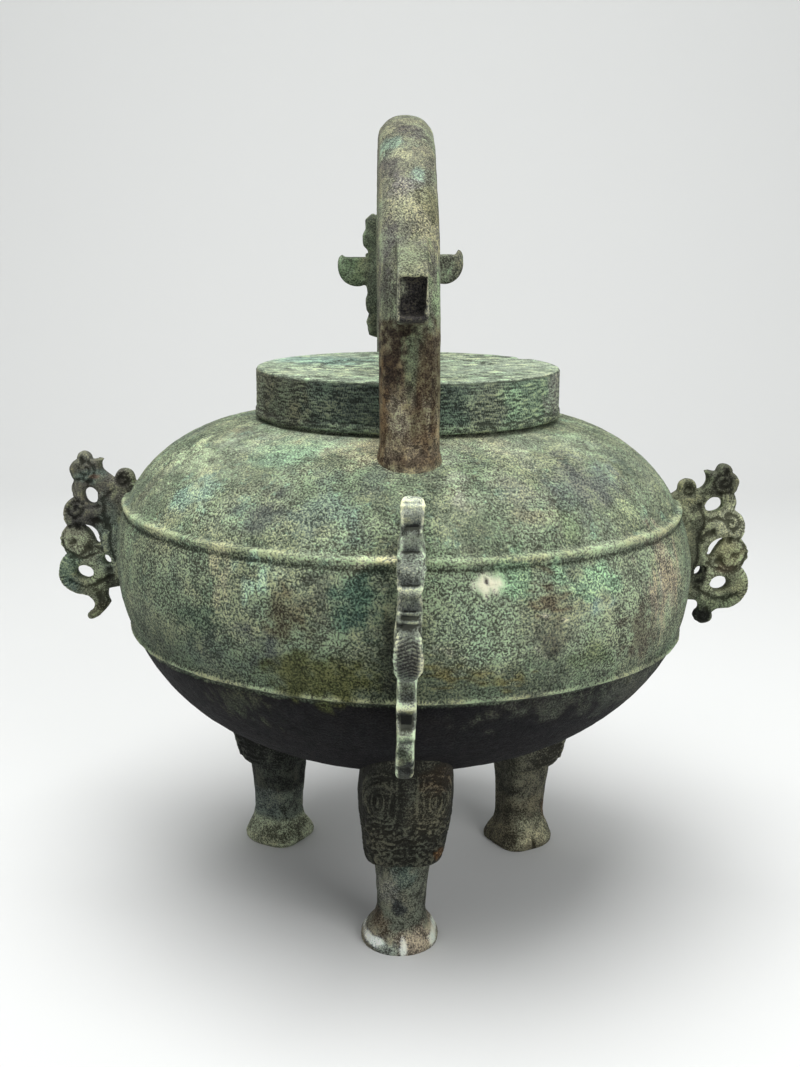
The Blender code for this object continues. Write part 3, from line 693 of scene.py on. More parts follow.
# Patches on the back of the pot: colour, middle, radii, strength, and whether one runs down or is laid
# in level dashes.
POT_PATCHES = [
    # The second patch, wide and faint over the right of the belly, is a painted pool of light.
    ("#adb6a2", (0, -60, 210), (75, 30, 8), 0.6), ("#9ba58f", (90, -85, 148), (62, 60, 28), 0.42),
    ("#86a088", (-44, -67, 206), (15, 14, 8), 0.8), ("#90ab9c", (-78, -74, 190), (9, 9, 9), 0.8),
    ("#5c625e", (-52, -98, 185), (12, 9, 8), 0.85), ("#a8b195", (-87, -48, 198), (20, 18, 9), 0.75, "laid"),
    ("#b3b093", (-12, -76, 207), (15, 15, 8), 0.85), ("#afb199", (28, -63, 209), (14, 12, 6), 0.7),
    ("#8f9384", (48, -90, 195), (12, 9, 7), 0.6), ("#666b69", (72, -72, 194), (20, 18, 9), 0.85),
    ("#84938d", (77, -58, 199), (9, 9, 5), 0.7), ("#99a788", (87, -72, 183), (9, 9, 6), 0.75),
    ("#75857b", (-30, -105, 187), (15, 8, 9), 0.75),
    ("#a9ad99", (-13.5, -104, 192), (3.2, 3, 2.0), 0.8, "laid"), ("#a1a795", (22, -95, 198), (6, 5, 4), 0.7),
    ("#90907a", (49, -101, 185), (8, 6, 5), 0.7), ("#7d8e6e", (62, -96, 182), (7, 6, 5), 0.6),
    ("#8ca697", (-54, -110, 164), (7, 5, 10), 0.9, "runs"), ("#9fae98", (-44, -113, 167), (7, 5, 5), 0.8),
    ("#939580", (-67, -101, 163), (6, 7, 10), 0.85, "runs"), ("#4e6053", (-76, -96, 146), (14, 12, 14), 0.8),
    ("#544e3e", (-42, -116, 152), (9, 5, 9), 0.85), ("#3f5c52", (-17, -121, 160), (10, 4, 13), 0.8),
    ("#5b5f55", (-32, -118, 161), (7, 5, 8), 0.7, "laid"), ("#42474e", (-51, -112, 139), (10, 7, 8), 0.75),
    ("#474b28", (-35, -117, 132), (22, 10, 10), 0.85), ("#566058", (-75, -95, 129), (15, 13, 8), 0.7),
    ("#67613b", (30, -119, 131), (20, 8, 6), 0.75, "laid"), ("#83a384", (40, -114, 167), (8, 6, 6), 0.75),
    ("#93b596", (69, -101, 164), (14, 10, 6), 0.85), ("#5a5043", (53, -111, 160), (10, 6, 8), 0.9, "laid"),
    ("#4c4b45", (57, -109, 147), (9, 7, 12), 0.85), ("#829d99", (74, -99, 152), (4.5, 4.5, 4.5), 0.7),
    ("#728577", (25, -121, 148), (13, 5, 10), 0.7), ("#5f6d50", (70, -99, 131), (11, 9, 6), 0.7),
    ("#988f80", (105, -66, 154), (13, 16, 18), 0.85, "runs"), ("#5a5147", (92, -82, 138), (11, 11, 10), 0.8),
    # The next two dark patches lie beside the back flange: painted shade where the flange meets the pot, with some
    # dark dirt.
    ("#343b32", (-5, -124, 143), (6, 5, 21), 0.75), ("#454b3f", (8, -124, 141), (4, 5, 18), 0.7),
    ("#b4b7a4", (17.5, -122, 142), (2.6, 3, 2.2), 0.9), ("#cacbb0", (-12, -119, 173.4), (11, 5, 2.6), 0.85),
    ("#b1a3a0", (30.3, -118, 165.5), (4.4, 4, 3.9), 1), ("#2f312a", (30.1, -118, 166.4), (0.8, 3, 1.5), 1.0),
    ("#b0aea0", (51.6, -113, 152), (2.2, 3, 1.6), 0.9, "laid"),
    ("#b0aea0", (62.9, -107, 152), (2.6, 3, 1.2), 0.85, "laid"),
    ("#b0aea0", (49, -113.7, 141.4), (1.6, 3, 1.8), 0.85), ("#b0aea0", (51, -112, 137), (1.4, 3, 1.6), 0.8),
    ("#a9ac9b", (20.8, -101, 193.6), (2.4, 3, 2), 0.8), ("#3a3d38", (64.4, -103, 166.4), (2.6, 3, 2.2), 0.85),
    ("#33352f", (58.6, -109, 140), (4, 3, 3.5), 0.7, "laid"), ("#434640", (86, -68, 112), (30, 32, 10), 0.85),
    # The first patch here, of strength 1, is a dark strip hugging the back flange's left edge: painted shade where it
    # meets the pot.
    ("#41463c", (-5.6, -124, 141), (2.8, 6, 22), 1), ("#8f9a84", (25, -119, 147), (15, 8, 13), 0.5),
    ("#454a3c", (-62, -93, 113), (17, 15, 7), 0.5, "runs"),
    ("#50524a", (48, -106, 114), (20, 10, 6), 0.45, "laid"),
]


def paint_pot(points, broad, fine, bands):
    """The patches that give the back its map of salts, with a painted pool of light on the right and painted shade
    beside the back flange; pale wear and a painted highlight on the two raised bands, and painted shade in the groove
    under the upper one.
    """
    paint = np.zeros((len(points), 4))
    edges = {
        "patch": 0.55 * broad + 0.5 * fine,
        "runs": 1.3 * lumps(points * [1, 1, 0.18], 2.2, 6.0) + 0.15,
        "laid": 1.3 * lumps(points * [0.3, 0.3, 1], 1.7, 7.0) + 0.15,
    }
    lay_patches(paint, warped(points, 4.0), POT_PATCHES, edges, still=points)
    flecks = patch(points, (104, -66, 157), (12, 15, 16), 0.2) * step(edges["runs"], 0.62, 0.85)
    lay(paint, "#c4c2b2", 0.8 * flecks)
    # The crowns of the bands are painted pale: wear and a painted highlight.
    lay(paint, "#959b83", 0.55 * step(bands, 0.5, 1.1) * step(broad, -0.6, 0.2))
    # Painted shade in the groove under the upper band.
    lay(paint, "#40473a", 0.6 * step(bands, -0.12, -0.4) * (points[:, 2] > 160))
    return paint


LID_LOW, LID_HIGH = (np.array(corner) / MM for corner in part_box("lid"))
LID_ASIDE, LID_RIM = (LID_HIGH[0] + LID_LOW[0]) / 2, (LID_HIGH[0] - LID_LOW[0]) / 2  # it sits towards +X
LID_RADIUS, LID_TOP, LID_FOOT = LID_RIM - 0.5, LID_HIGH[2], LID_LOW[2] - 1.3
ROUNDEL = 37.4  # the radius of the sunk middle of the top


def make_lid():
    """The cap: a flat top with a sunk roundel, a straight skirt and a plain strip along its foot."""
    top, foot, radius, rim = LID_TOP, LID_FOOT, LID_RADIUS, LID_RIM
    edge, strip, bore, ceiling = ROUNDEL + 0.8, foot + 3.2, LID_RADIUS - 2.5, LID_TOP - 3.0
    profile = [(35.0 * i / 26, top - 0.6) for i in range(27)]
    profile += [(edge - 1.6, top - 0.6), (edge - 0.8, top - 0.3), (edge, top)]
    profile += [(edge + (radius - 1.2 - edge) * i / 18, top) for i in range(1, 19)]
    profile += [(radius - 0.4, top - 0.3), (radius, top - 1.1)]
    profile += [(radius, top - 1.1 - (top - 1.1 - strip) * i / 17) for i in range(1, 18)]
    profile += [(rim - 0.1, foot + 2.8), (rim, foot + 2.2), (rim, foot + 1.2), (rim, foot + 0.4), (rim - 0.3, foot)]
    profile += [(bore + 0.3, foot), (bore, foot + 0.4), (bore, 220.0), (bore, ceiling - 0.3)]
    profile += [(60.0, ceiling), (30.0, ceiling), (0.0, ceiling)]
    lid = turned("bronze_lid", profile, 450)
    points, normals = read(lid)
    radial = np.hypot(points[:, 0], points[:, 1])
    azimuth = np.arctan2(points[:, 0], -points[:, 1])
    u = (azimuth / math.tau + 0.5) * WRAP_WIDTH
    skirt = (normals[:, 2] < 0.5) & (radial > 64)
    over_top = (normals[:, 2] > 0.5) & (points[:, 2] > 229)
    fine, broad = lumps(points, 2.4, 8.0), lumps(points, 7.0, 9.0)
    laced = step(points[:, 2], foot + 3.4, foot + 4.6)
    lace = curls(u * 0.5 + 1.2 * broad, points[:, 2] * 2.0 + 0.8 * fine, 4.4, 3.0) * laced
    dents = np.sin(radial * math.tau / 3.1 + 2.2 * broad) * step(np.abs(radial - 30), 9, 5)
    rough = 0.5 * fine + broad
    move = np.where(skirt, 0.08 * lace + 0.08 * rough, 0.0) + np.where(over_top, 0.05 * dents + 0.13 * rough, 0.0)
    relief = np.where(skirt, 0.16 * lace + 0.25 * rough - 0.5 * bell(points[:, 2] - strip, 0.7), 0.0)
    relief += np.where(over_top, 0.10 * dents + 0.30 * rough - 0.5 * bell(radial - ROUNDEL - 0.2, 0.8), 0.0)
    paint = paint_lid(points, over_top, azimuth, broad, fine)
    points += normals * move[:, None]
    chip = patch(points, (53.5, 37.0, 231.5), (4.0, 4.0, 2.2), 0.2 * fine) + 0.6 * patch(
        points, (-8.0, 64.5, 231.5), (3.0, 2.6, 1.5), 0.2 * fine)
    points[:, 2] -= 1.1 * chip * step(points[:, 2], 228.5, 230.5)
    points[:, 2] = np.minimum(points[:, 2], top + 0.25)
    points[:, 0] += LID_ASIDE
    write(lid, points, relief, paint)
    wrap_uv(lid, np.where(over_top, points[:, 0], u), np.where(over_top, points[:, 1], points[:, 2] + 300))
    return lid


# Zones round the skirt: colour, first and last angle from the back towards +X in degrees, and strength.
SKIRT_ZONES = [
    ("#76786a", -100, -62, 0.8), ("#55564a", -70, -38, 0.7), ("#424c46", -34, 2, 0.7), ("#536158", 6, 24, 0.7),
    ("#6a7467", 20, 40, 0.8), ("#7c927c", 36, 66, 0.85), ("#8d9087", 62, 100, 0.8), ("#5a6a5b", 110, 250, 0.6),
]
LID_TOP_PATCHES = [
    ("#7b9a93", (-38, 22, 231), (26, 16, 9), 0.6), ("#5b6458", (-10, 52, 231), (9, 5, 9), 0.8),
    ("#5b6458", (-22, 20, 231), (11, 4, 9), 0.8), ("#9aa795", (40, 8, 231), (22, 30, 9), 0.6),
    ("#97a48f", (-30, -42, 231), (30, 12, 9), 0.6), ("#667263", (48, 45, 231), (16, 6, 9), 0.7),
]


def paint_lid(points, over_top, azimuth, broad, fine):
    """Verdigris on the top, and a dark skirt that turns green towards the right and pale at its foot."""
    paint = np.zeros((len(points), 4))
    ragged = 0.55 * broad + 0.35 * fine
    lay(paint, "#4a534c", 0.95 * ~over_top)
    turn = np.degrees(azimuth)
    for colour, start, end, strength in SKIRT_ZONES:
        across = np.abs((turn - (start + end) / 2 + 180) % 360 - 180) / (end - start) * 2
        lay(paint, colour, strength * ~over_top * step(across + ragged, 1.15, 0.75))
    strip = ~over_top * step(points[:, 2], 215.0, 214.0)
    lay(paint, "#6f7a68", 0.75 * strip * step(turn + 40 * ragged, -60, 0))
    lay_patches(paint, points, LID_TOP_PATCHES, {"patch": ragged}, over_top)
    return paint


# ---------------------------------------------------------------- handle

BAR_HALF, BAR_DEPTH = 11.4, 21.5
ARCH_RADIUS, ARCH_SPRING, ARCH_TOP = 79.2, 243.5, 334.58
BAR_FOOT = 190.0  # the bar starts inside the pot's shoulder
BAR_SIDES = 48


def d_section(angle):
    """The bar's section at an angle: (across, outward), full outside and flatter towards the lid."""
    across, out = math.cos(angle), math.sin(angle)
    if out >= 0:
        return BAR_HALF * math.copysign(abs(across) ** 0.86, across), 1.1 + BAR_DEPTH / 2 * out ** 0.92
    return BAR_HALF * math.copysign(abs(across) ** 0.5, across), 1.1 - (BAR_DEPTH / 2 + 1.1) * abs(out) ** 0.62


def make_bar():
    """The arch: a D outline extruded up from the shoulder, spun over the lid and extruded down again."""
    bpy.ops.object.select_all(action="DESELECT")
    bpy.ops.mesh.primitive_circle_add(vertices=BAR_SIDES, radius=BAR_HALF * MM, fill_type="NGON",
                                      location=(0, -ARCH_RADIUS * MM, BAR_FOOT * MM))
    bar = settle(bpy.context.object)
    for i, vertex in enumerate(bar.data.vertices):
        x, out = d_section(math.tau * i / BAR_SIDES)
        vertex.co = (x * MM, -(ARCH_RADIUS + out) * MM, BAR_FOOT * MM)
    edit("FACE")
    bpy.ops.mesh.select_all(action="SELECT")
    bpy.ops.mesh.extrude_region_move(TRANSFORM_OT_translate={"value": (0, 0, (ARCH_SPRING - BAR_FOOT) * MM)})
    bpy.ops.mesh.spin(steps=64, angle=math.pi, center=(0, 0, ARCH_SPRING * MM), axis=(1, 0, 0))
    bpy.ops.mesh.extrude_region_move(TRANSFORM_OT_translate={"value": (0, 0, (BAR_FOOT - ARCH_SPRING) * MM)})
    close_up()
    return bar


def make_stub():
    """The broken tail's root: a narrow wedge sloping out of the back of the arch, hollow at its end."""
    bpy.ops.object.select_all(action="DESELECT")
    bpy.ops.mesh.primitive_cube_add(size=1.0)
    stub = bpy.context.object
    for vertex in stub.data.vertices:
        x, y, z = vertex.co
        near = y > 0
        reach = -76.0 if near else -104.2
        height = (288.6 if near else 274.4) if z > 0 else (252.5 if near else 258.5)
        vertex.co = ((0.5 + x * (11.6 if near else 11.0)) * MM, reach * MM, height * MM)
        vertex.select = False
    for face in stub.data.polygons:
        face.select = all(stub.data.vertices[v].co.y < -0.1 for v in face.vertices)
    edit("FACE")
    bpy.ops.mesh.inset(thickness=0.9 * MM, depth=0)
    bpy.ops.mesh.extrude_region_move(TRANSFORM_OT_translate={"value": (0, 6.0 * MM, 0.6 * MM)})
    close_up()
    return stub


def make_horn(side):
    """A thick half disc, flat above and round below, with a small tip turned up at its outer end."""
    x0, z0, tip_rise = (21.0, 267.4, 4.6) if side < 0 else (21.3, 268.9, 6.0)
    outline = [(x0 - 12, z0 + 6.6), (x0 - 12, z0 - 6.0)]
    outline += [(x0 + 9.2 * math.cos(a), z0 + 2.0 + 9.4 * math.sin(a))
                for a in (math.radians(215 + 160 * i / 20) for i in range(21))]
    outline += [(x0 + 7.6, z0 + 6.6)]
    horn = plate([[(side * x, z) for x, z in outline]], 8.6, 1.6)
    horn.location = (0, 92.0 * MM, 0)
    settle(horn)
    tip = ball((side * (x0 + 7.6), 92.0, z0 + tip_rise), (1.5, 2.6, 3.2), (0, side * -14, 0))
    select_only(horn, tip)
    bpy.ops.object.join()
    return horn


# The right half of the mane's lobed outline behind the dragon's face, as (across, height).
MANE = [
    (4.0, 298.6), (9.0, 297.4), (11.5, 293.6), (13.2, 295.0), (17.0, 291.8), (16.6, 287.2), (18.2, 284.4),
    (17.8, 279.6), (15.2, 277.2), (15.8, 273.6), (14.2, 270.0), (14.0, 263.5), (16.2, 260.4), (15.8, 256.6),
    (17.0, 253.4), (16.6, 249.2), (15.2, 247.0), (16.4, 243.4), (15.4, 236.8), (11.5, 235.6), (5.0, 235.4),
]


def make_mane():
    """The lobed plate behind the dragon's face."""
    outline = MANE + [(-x, z) for x, z in reversed(MANE)]
    mane = plate([outline], 12.0, 2.6)
    mane.location = (0, 91.5 * MM, 0)
    return settle(mane)


# The head: skull, snout, jaw and crest, then brows, eyes, nostrils and cheeks, as (middle, radii, turn).
HEAD_BALLS = [
    ((0, 91.5, 263), (16.2, 13.0, 26.0), (0, 0, 0)),
    ((0, 103, 252), (11.2, 10.4, 10.5), (-15, 0, 0)),
    ((0, 98.5, 240.5), (9.8, 10.0, 5.2), (10, 0, 0)),
    ((0, 99, 283), (3.6, 7.5, 11.0), (20, 0, 0)),
    ((9.5, 101.5, 272.5), (8.2, 5.2, 3.6), (0, -20, -18)),
    ((8.8, 104, 264.6), (4.6, 4.0, 4.2), (0, 0, 0)),
    ((4.8, 111.6, 255.0), (3.0, 2.4, 2.6), (0, 0, 0)),
    ((12.6, 95, 283.5), (4.6, 6.0, 6.4), (0, 0, 0)),
    ((12.0, 95, 249.0), (4.2, 6.5, 6.0), (0, 0, 0)),
]
EYE_ACROSS, EYE_LEVEL = HEAD_BALLS[5][0][0], HEAD_BALLS[5][0][2]
NOSTRIL_ACROSS, NOSTRIL_LEVEL = HEAD_BALLS[6][0][0], HEAD_BALLS[6][0][2]
# The lines cut in its face, as (across, height).
FACE_LINES = [
    [(2.5, 262), (6, 259.5), (11, 260.5), (14.5, 265), (13.5, 270)],
    [(3.5, 268), (8, 268.5), (12.5, 271.5), (16, 276)],
    [(1.0, 276), (4.5, 279), (5.5, 286), (4.0, 292)],
    [(2.0, 247.3), (7.0, 246.5), (10.5, 248.5), (13, 253), (12, 257.5), (8.5, 257.0)],
    [(0.0, 243.0), (5.0, 242.6), (9.0, 243.6)],
    scroll((15.5, 249.5), 0.8, 5.0, 20, 1.6),
    scroll((14.0, 239.3), 0.6, 4.0, 60, 1.4),
    scroll((13.5, 286.0), 0.8, 5.2, 200, 1.5),
]


def make_handle():
    """The dragon: its arched body, the root of its lost tail, and its horned head over the spout."""
    parts = [make_bar(), make_stub(), make_horn(-1), make_horn(1), make_mane()]
    handle = fuse("bronze_handle", parts + balls(HEAD_BALLS), 0.72)
    points, normals = read(handle)
    x, y, z = points.T

    outward = np.where(z > ARCH_SPRING, np.hypot(y, z - ARCH_SPRING), np.abs(y)) - ARCH_RADIUS
    on_bar = step(outward, 11.6, 11.0) * (1 - step(y, 70, 80) * step(z, 300, 292) * step(z, 232, 238))
    edge_line = bell(np.abs(x) - 10.4, 0.7) * step(outward, -2, 1) * on_bar
    head = step(y, 86, 92) * step(z, 234, 238) * step(z, 300, 295)
    carved = grooves(np.abs(x), z, FACE_LINES, 0.75) * head
    eye = bell(np.hypot(np.abs(x) - EYE_ACROSS, z - EYE_LEVEL), 1.6) * head
    nostril = bell(np.hypot(np.abs(x) - NOSTRIL_ACROSS, z - NOSTRIL_LEVEL), 1.2) * head * step(y, 108, 110)
    mouth = bell(z - 244.8 - 0.02 * x * x, 1.0) * head * step(y, 93, 97)
    horn_rib = np.sin(stroke_distance(np.abs(x), z, [(14, 268), (22, 268)]) * math.tau / 2.4)
    horn_rib *= step(np.abs(x), 19, 21) * step(y, 93, 95)
    broken = step(y, -101.5, -103.5) * step(np.abs(x), 8, 6)

    fine, broad = lumps(points, 2.3, 4.0), lumps(points, 6.0, 6.0)
    rough = 0.45 * fine + broad
    paint = paint_handle(points, fine, broad)
    move = 0.16 * rough + 0.35 * lumps(points, 30.0, 7.0) + 0.22 * edge_line
    move += -0.55 * carved - 0.9 * eye - 1.2 * nostril - 1.6 * mouth + 0.18 * horn_rib + 0.8 * broken * rough
    relief = 0.4 * edge_line + 0.25 * rough - 0.8 * (carved + eye + nostril) - mouth + 0.2 * horn_rib
    relief += 0.9 * fine * step(z, 259, 250) * (y < 0)
    flare = step(z, 209.5, 203.0) * 1.3
    points += normals * (move + flare)[:, None]
    points[:, 2] = np.minimum(points[:, 2], ARCH_TOP)
    points[:, 0] += np.interp(points[:, 1], [-90, -45, 92], [1.8, 0.3, -2.5])  # the arch is cast askew
    write(handle, points, relief, paint)
    return handle


# Patches on the handle and on its root: colour, middle, radii, strength, and whether one runs down.
HANDLE_PATCHES = [
    ("#6a6762", (0, -60, 300), (40, 45, 50), 0.35), ("#605d5b", (-8, -78, 288), (5, 8, 16), 0.8),
    ("#605d5b", (-8, -55, 316), (6, 8, 8), 0.7), ("#5a5656", (1, -38, 327), (5, 6, 5), 0.8),
    ("#7b8d80", (-6, -47, 322), (6, 9, 5), 0.8), ("#999b82", (-2, -54, 317), (4, 5, 6), 0.8),
    ("#8a9c90", (4.5, -62, 310), (3.4, 4, 4), 0.8), ("#8e8b88", (0.5, -67, 305), (6, 5, 5), 0.7),
    ("#8f917b", (0, -72, 299), (8, 6, 7), 0.7), ("#93927a", (7, -78, 290), (5, 8, 16), 0.8, "runs"),
    ("#5c5d45", (10, -71, 300), (4, 8, 12), 0.6), ("#7b8a6e", (9, -88, 268), (4, 9, 14), 0.7, "runs"),
    ("#4d4f45", (-9, -88, 268), (3, 9, 16), 0.6, "runs"), ("#7a7f68", (0, -100, 282), (6.5, 20, 10), 0.8),
    ("#8f8b76", (0, -90, 204), (16, 16, 8), 0.8),
]
ROOT_PATCHES = [
    ("#857a68", (0, -90, 216), (11, 12, 17), 0.75), ("#5b6451", (1.5, -92, 243), (3.6, 9, 17), 0.8, "runs"),
    ("#33281f", (-6, -92, 243), (5.6, 9, 16), 0.95), ("#4f4333", (8, -92, 238), (4, 9, 18), 0.8, "runs"),
    # The next patch, a thin dark brown band just under the tail's stub, is rust and painted shade under the stub.
    ("#2e251d", (0, -92, 255), (10, 9, 5), 0.9), ("#513f2e", (-9, -90, 220), (3.2, 9, 15), 0.85, "runs"),
    ("#4e3e30", (4, -92, 216), (5, 9, 13), 0.8, "runs"), ("#8a8272", (-4, -92, 224), (4, 9, 8), 0.7),
    ("#43352a", (-2, -92, 206), (8, 9, 3), 0.6),
]


def paint_handle(points, fine, broad):
    """Rust brown on the back root with painted shade under the tail's stub, grey and yellow-green over the arch, dark
    green on the head, and painted shade in the stub's hollow end.
    """
    x, y, z = points.T
    paint = np.zeros((len(points), 4))
    ragged = 0.8 * broad + 0.6 * fine
    edges = {"patch": ragged, "runs": 1.4 * lumps(points * [1, 1, 0.22], 2.0, 6.0) + 0.1}
    strayed = points + 0.45 * (warped(points, 9.0) - points)
    root = step(z + 5 * ragged, 259, 252) * (y < 0)
    lay_patches(paint, strayed, HANDLE_PATCHES, edges)
    lay(paint, "#574c3e", 0.95 * root * step(z, 200, 206))
    lay_patches(paint, strayed, ROOT_PATCHES, edges, root)
    hollow = step(y, -94.5, -96) * step(z - 0.507 * (y + 104.2) + 0.6 * fine, 273.8, 272.4)
    across = np.abs(x - 0.5)
    lay(paint, "#9c9e8f", 0.8 * step(y, -98, -101) * step(z, 257, 259) * step(across + 0.3 * fine, 4.9, 5.3))
    # The stub's hollow end is painted near black: painted shade inside it.
    lay(paint, "#3b393a", 0.97 * hollow * step(across + 0.9 * fine, 5.3, 4.7))
    lay(paint, "#8e9183", 0.8 * hollow * patch(points, (-3.4, -101, 269), (1.8, 5, 3), 0.7 * fine))
    lay(paint, "#50574a", 0.9 * step(y, 74, 82) * step(z + 2 * ragged, 304, 298))
    lay(paint, "#56654f", 0.7 * step(y, 82, 84) * step(x, -17, -20))
    lay(paint, "#6a6b60", 0.8 * step(y, 82, 84) * step(x, 15, 18))
    lay(paint, "#74806c", 0.6 * step(y, 84, 88) * step(ragged, 0.15, 0.4))
    return paint


# ---------------------------------------------------------------- flanges


def arc_points(start, crown, end, piece=0.7):
    """Points of the arc from start, past crown, towards end, without end itself."""
    (ax, ay), (bx, by), (cx, cy) = start, crown, end
    twice = 2 * (ax * (by - cy) + bx * (cy - ay) + cx * (ay - by))
    if abs(twice) < 1e-2:
        return [start]
    a2, b2, c2 = ax * ax + ay * ay, bx * bx + by * by, cx * cx + cy * cy
    x = (a2 * (by - cy) + b2 * (cy - ay) + c2 * (ay - by)) / twice
    y = (a2 * (cx - bx) + b2 * (ax - cx) + c2 * (bx - ax)) / twice
    radius = math.hypot(ax - x, ay - y)
    first = math.atan2(ay - y, ax - x)
    sweep = (math.atan2(cy - y, cx - x) - first) % math.tau
    if (math.atan2(by - y, bx - x) - first) % math.tau > sweep:
        sweep -= math.tau
    pieces = max(1, round(radius * abs(sweep) / piece))
    angles = [first + sweep * i / pieces for i in range(pieces)]
    return [(x + radius * math.cos(angle), y + radius * math.sin(angle)) for angle in angles]


# The dragon's edge as (notch, crown, notch, ...): distance from the vessel's axis, and height.
DRAGON_CREST = [
    (131.7, 181.3), (132.0, 183.8), (130.6, 186.2), (133.4, 186.0), (136.0, 185.6), (138.3, 189.4),
    (142.4, 185.7), (145.7, 181.0), (143.7, 176.8), (145.0, 172.9), (144.1, 169.0), (149.0, 163.6),
    (147.4, 156.4), (151.1, 149.7), (148.0, 143.7), (152.1, 134.5), (142.3, 125.1),
]
STUMP_TAIL = [
    (139.5, 124.6), (136.4, 123.2), (136.6, 120.4), (134.8, 118.4), (132.8, 117.7), (130.2, 118.7),
    (128.4, 121.2), (130.5, 124.0), (130.6, 126.8), (128.5, 129.0), (126.0, 129.0), (118.0, 129.0),
]
HOOKED_TAIL = [
    (140.0, 124.3), (137.4, 122.0), (137.3, 119.5), (139.5, 117.0), (140.1, 115.2), (137.5, 114.7),
    (133.5, 117.2), (130.2, 121.5), (131.2, 126.2), (130.5, 128.2), (129.0, 128.8), (118.0, 128.6),
]
LONG_TAIL = [
    (140.0, 124.6), (138.5, 122.5), (142.5, 116.5), (139.5, 110.5), (142.5, 105.0), (138.0, 100.0),
    (139.5, 93.5), (134.5, 88.6), (131.5, 84.6), (127.0, 82.4), (123.5, 83.6), (121.5, 89.5), (123.5, 93.5),
    (122.5, 96.5), (110.0, 98.5),
]
# Holes: centre, long and short half-size, and tilt in degrees.
RIGHT_HOLES = [
    ((135.1, 171.3), (3.9, 3.2), 28), ((139.0, 136.4), (4.1, 3.2), 8), ((129.4, 141.9), (2.3, 1.6), 65),
]
LEFT_HOLES = [
    ((136.6, 169.8), (3.7, 2.9), 80), ((140.6, 135.6), (4.0, 3.1), 8), ((130.6, 141.4), (2.3, 1.6), 65),
]
BACK_HOLES = RIGHT_HOLES + [((133.5, 108.5), (3.4, 2.4), 70)]
EYE = (143.8, 150.3)
FLANGE_THICKNESS, FLANGE_REACH = 8.8, 152.1


def flange_outline(rise, curl, tail):
    """The whole edge: the curl that touches the shoulder, the dragon's outer side, and its tail."""
    u, v = curl
    curl_edge = [(u + a, v + b) for a, b in ((-12.0, -4.0), (-8.2, -2.8), (-4.5, -1.0), (-0.4, 4.0), (4.0, -0.6))]
    crest = [(a, b + rise) for a, b in DRAGON_CREST]
    dip = ((u + 4.0 + crest[0][0]) / 2, crest[0][1] - 2.4)
    run = curl_edge + [dip] + crest + [(a, b + rise) for a, b in tail]
    points = []
    for i in range(0, len(run) - 2, 2):
        points += arc_points(run[i], run[i + 1], run[i + 2])
    return points + [run[-1]]


def oval(centre, half_sizes, tilt, count=28):
    """The outline of a hole."""
    turn = math.radians(tilt)
    points = []
    for i in range(count):
        x, y = half_sizes[0] * math.cos(math.tau * i / count), half_sizes[1] * math.sin(math.tau * i / count)
        points.append((centre[0] + x * math.cos(turn) - y * math.sin(turn),
                       centre[1] + x * math.sin(turn) + y * math.cos(turn)))
    return points


# The rim seen edge-on: its width at heights, then seams cut across it and ridges left proud, each
# with its height, half thickness and depth.
RIM_WIDTH = [
    (86, 6.6), (92, 6.8), (104, 6.2), (112, 7.1), (122, 7.3), (126, 7.1), (130, 9.4), (135, 10.0), (141, 9.4),
    (145, 8.4), (157, 8.3), (160.5, 9.4), (165, 10.1), (169.5, 9.6), (172, 7.6), (178, 7.8), (184, 8.3),
    (191, 8.0),
]
RIM_SEAMS = [
    (179.6, 1.5, 1.5), (171.2, 0.5, 0.8), (160.6, 0.5, 0.8), (152.2, 0.4, 0.7), (149.8, 0.8, 1.4),
    (146.1, 1.3, 1.7), (124.5, 0.5, 0.8), (117.4, 0.5, 0.5), (108.9, 2.4, 1.8), (100.6, 0.5, 0.7),
    (89.4, 1.8, 1.4),
]
RIM_RIDGES = [
    (190.2, 0.5, 0.5), (188.5, 0.5, 0.5), (186.8, 0.5, 0.4), (159.7, 0.6, 0.5), (151.1, 0.5, 0.4),
    (148.2, 0.6, 0.5), (115.0, 1.5, 0.5), (103.6, 1.0, 0.5),
]
CARVED_LINES = [
    scroll((138.6, 181.5), 1.0, 4.6, 90, 1.4), scroll((143.0, 163.8), 0.8, 4.4, 30, 1.3),
    [(133.0, 165.5), (136.5, 166.2), (140.5, 164.6), (143.5, 160.0)],
    [(128.5, 160.0), (131.0, 158.2), (134.5, 160.2)],
    [(128.0, 172.0), (130.5, 168.0), (131.0, 163.0), (128.5, 156.0), (128.6, 148.0), (127.0, 142.0)],
    scroll(EYE, 6.6, 6.8, 210, 0.75), [(133.0, 146.0), (136.5, 143.8), (141.5, 142.0), (146.0, 142.6)],
    [(128.0, 135.0), (132.0, 132.5), (136.0, 130.5), (141.5, 129.5), (146.5, 132.5)],
    scroll((131.8, 121.8), 0.8, 2.8, 0, 1.1), [(130.0, 104.0), (132.5, 100.0), (131.5, 95.0), (128.0, 90.5)],
    [(136.0, 176.5), (140.0, 177.5), (144.0, 176.8)], [(133.5, 153.0), (135.0, 149.5), (134.0, 146.0)],
]
CARVED_PITS = [
    (145.1, 149.8, 1.3), (142.2, 156.4, 1.6), (137.7, 147.3, 1.9), (130.3, 156.4, 1.4), (134.6, 159.1, 1.8),
    (131.5, 143.0, 1.5), (129.0, 137.5, 1.2), (134.0, 125.0, 1.5), (137.5, 176.0, 1.2), (139.8, 186.0, 1.0),
]


def eye_slot(rise):
    """The outline of the curved slot that opens round the upper side of the eye, out along it and back."""
    slot = []
    for i in range(33):
        share, side = min(i, 32 - i) / 16, 1 if i < 17 else -1
        angle = math.radians(104 + 84 * share)
        reach = 7.6 + side * (0.7 + 0.9 * math.sin(math.pi * share))
        slot.append((142.4 + reach * math.cos(angle), 149.2 + rise + reach * math.sin(angle)))
    return slot


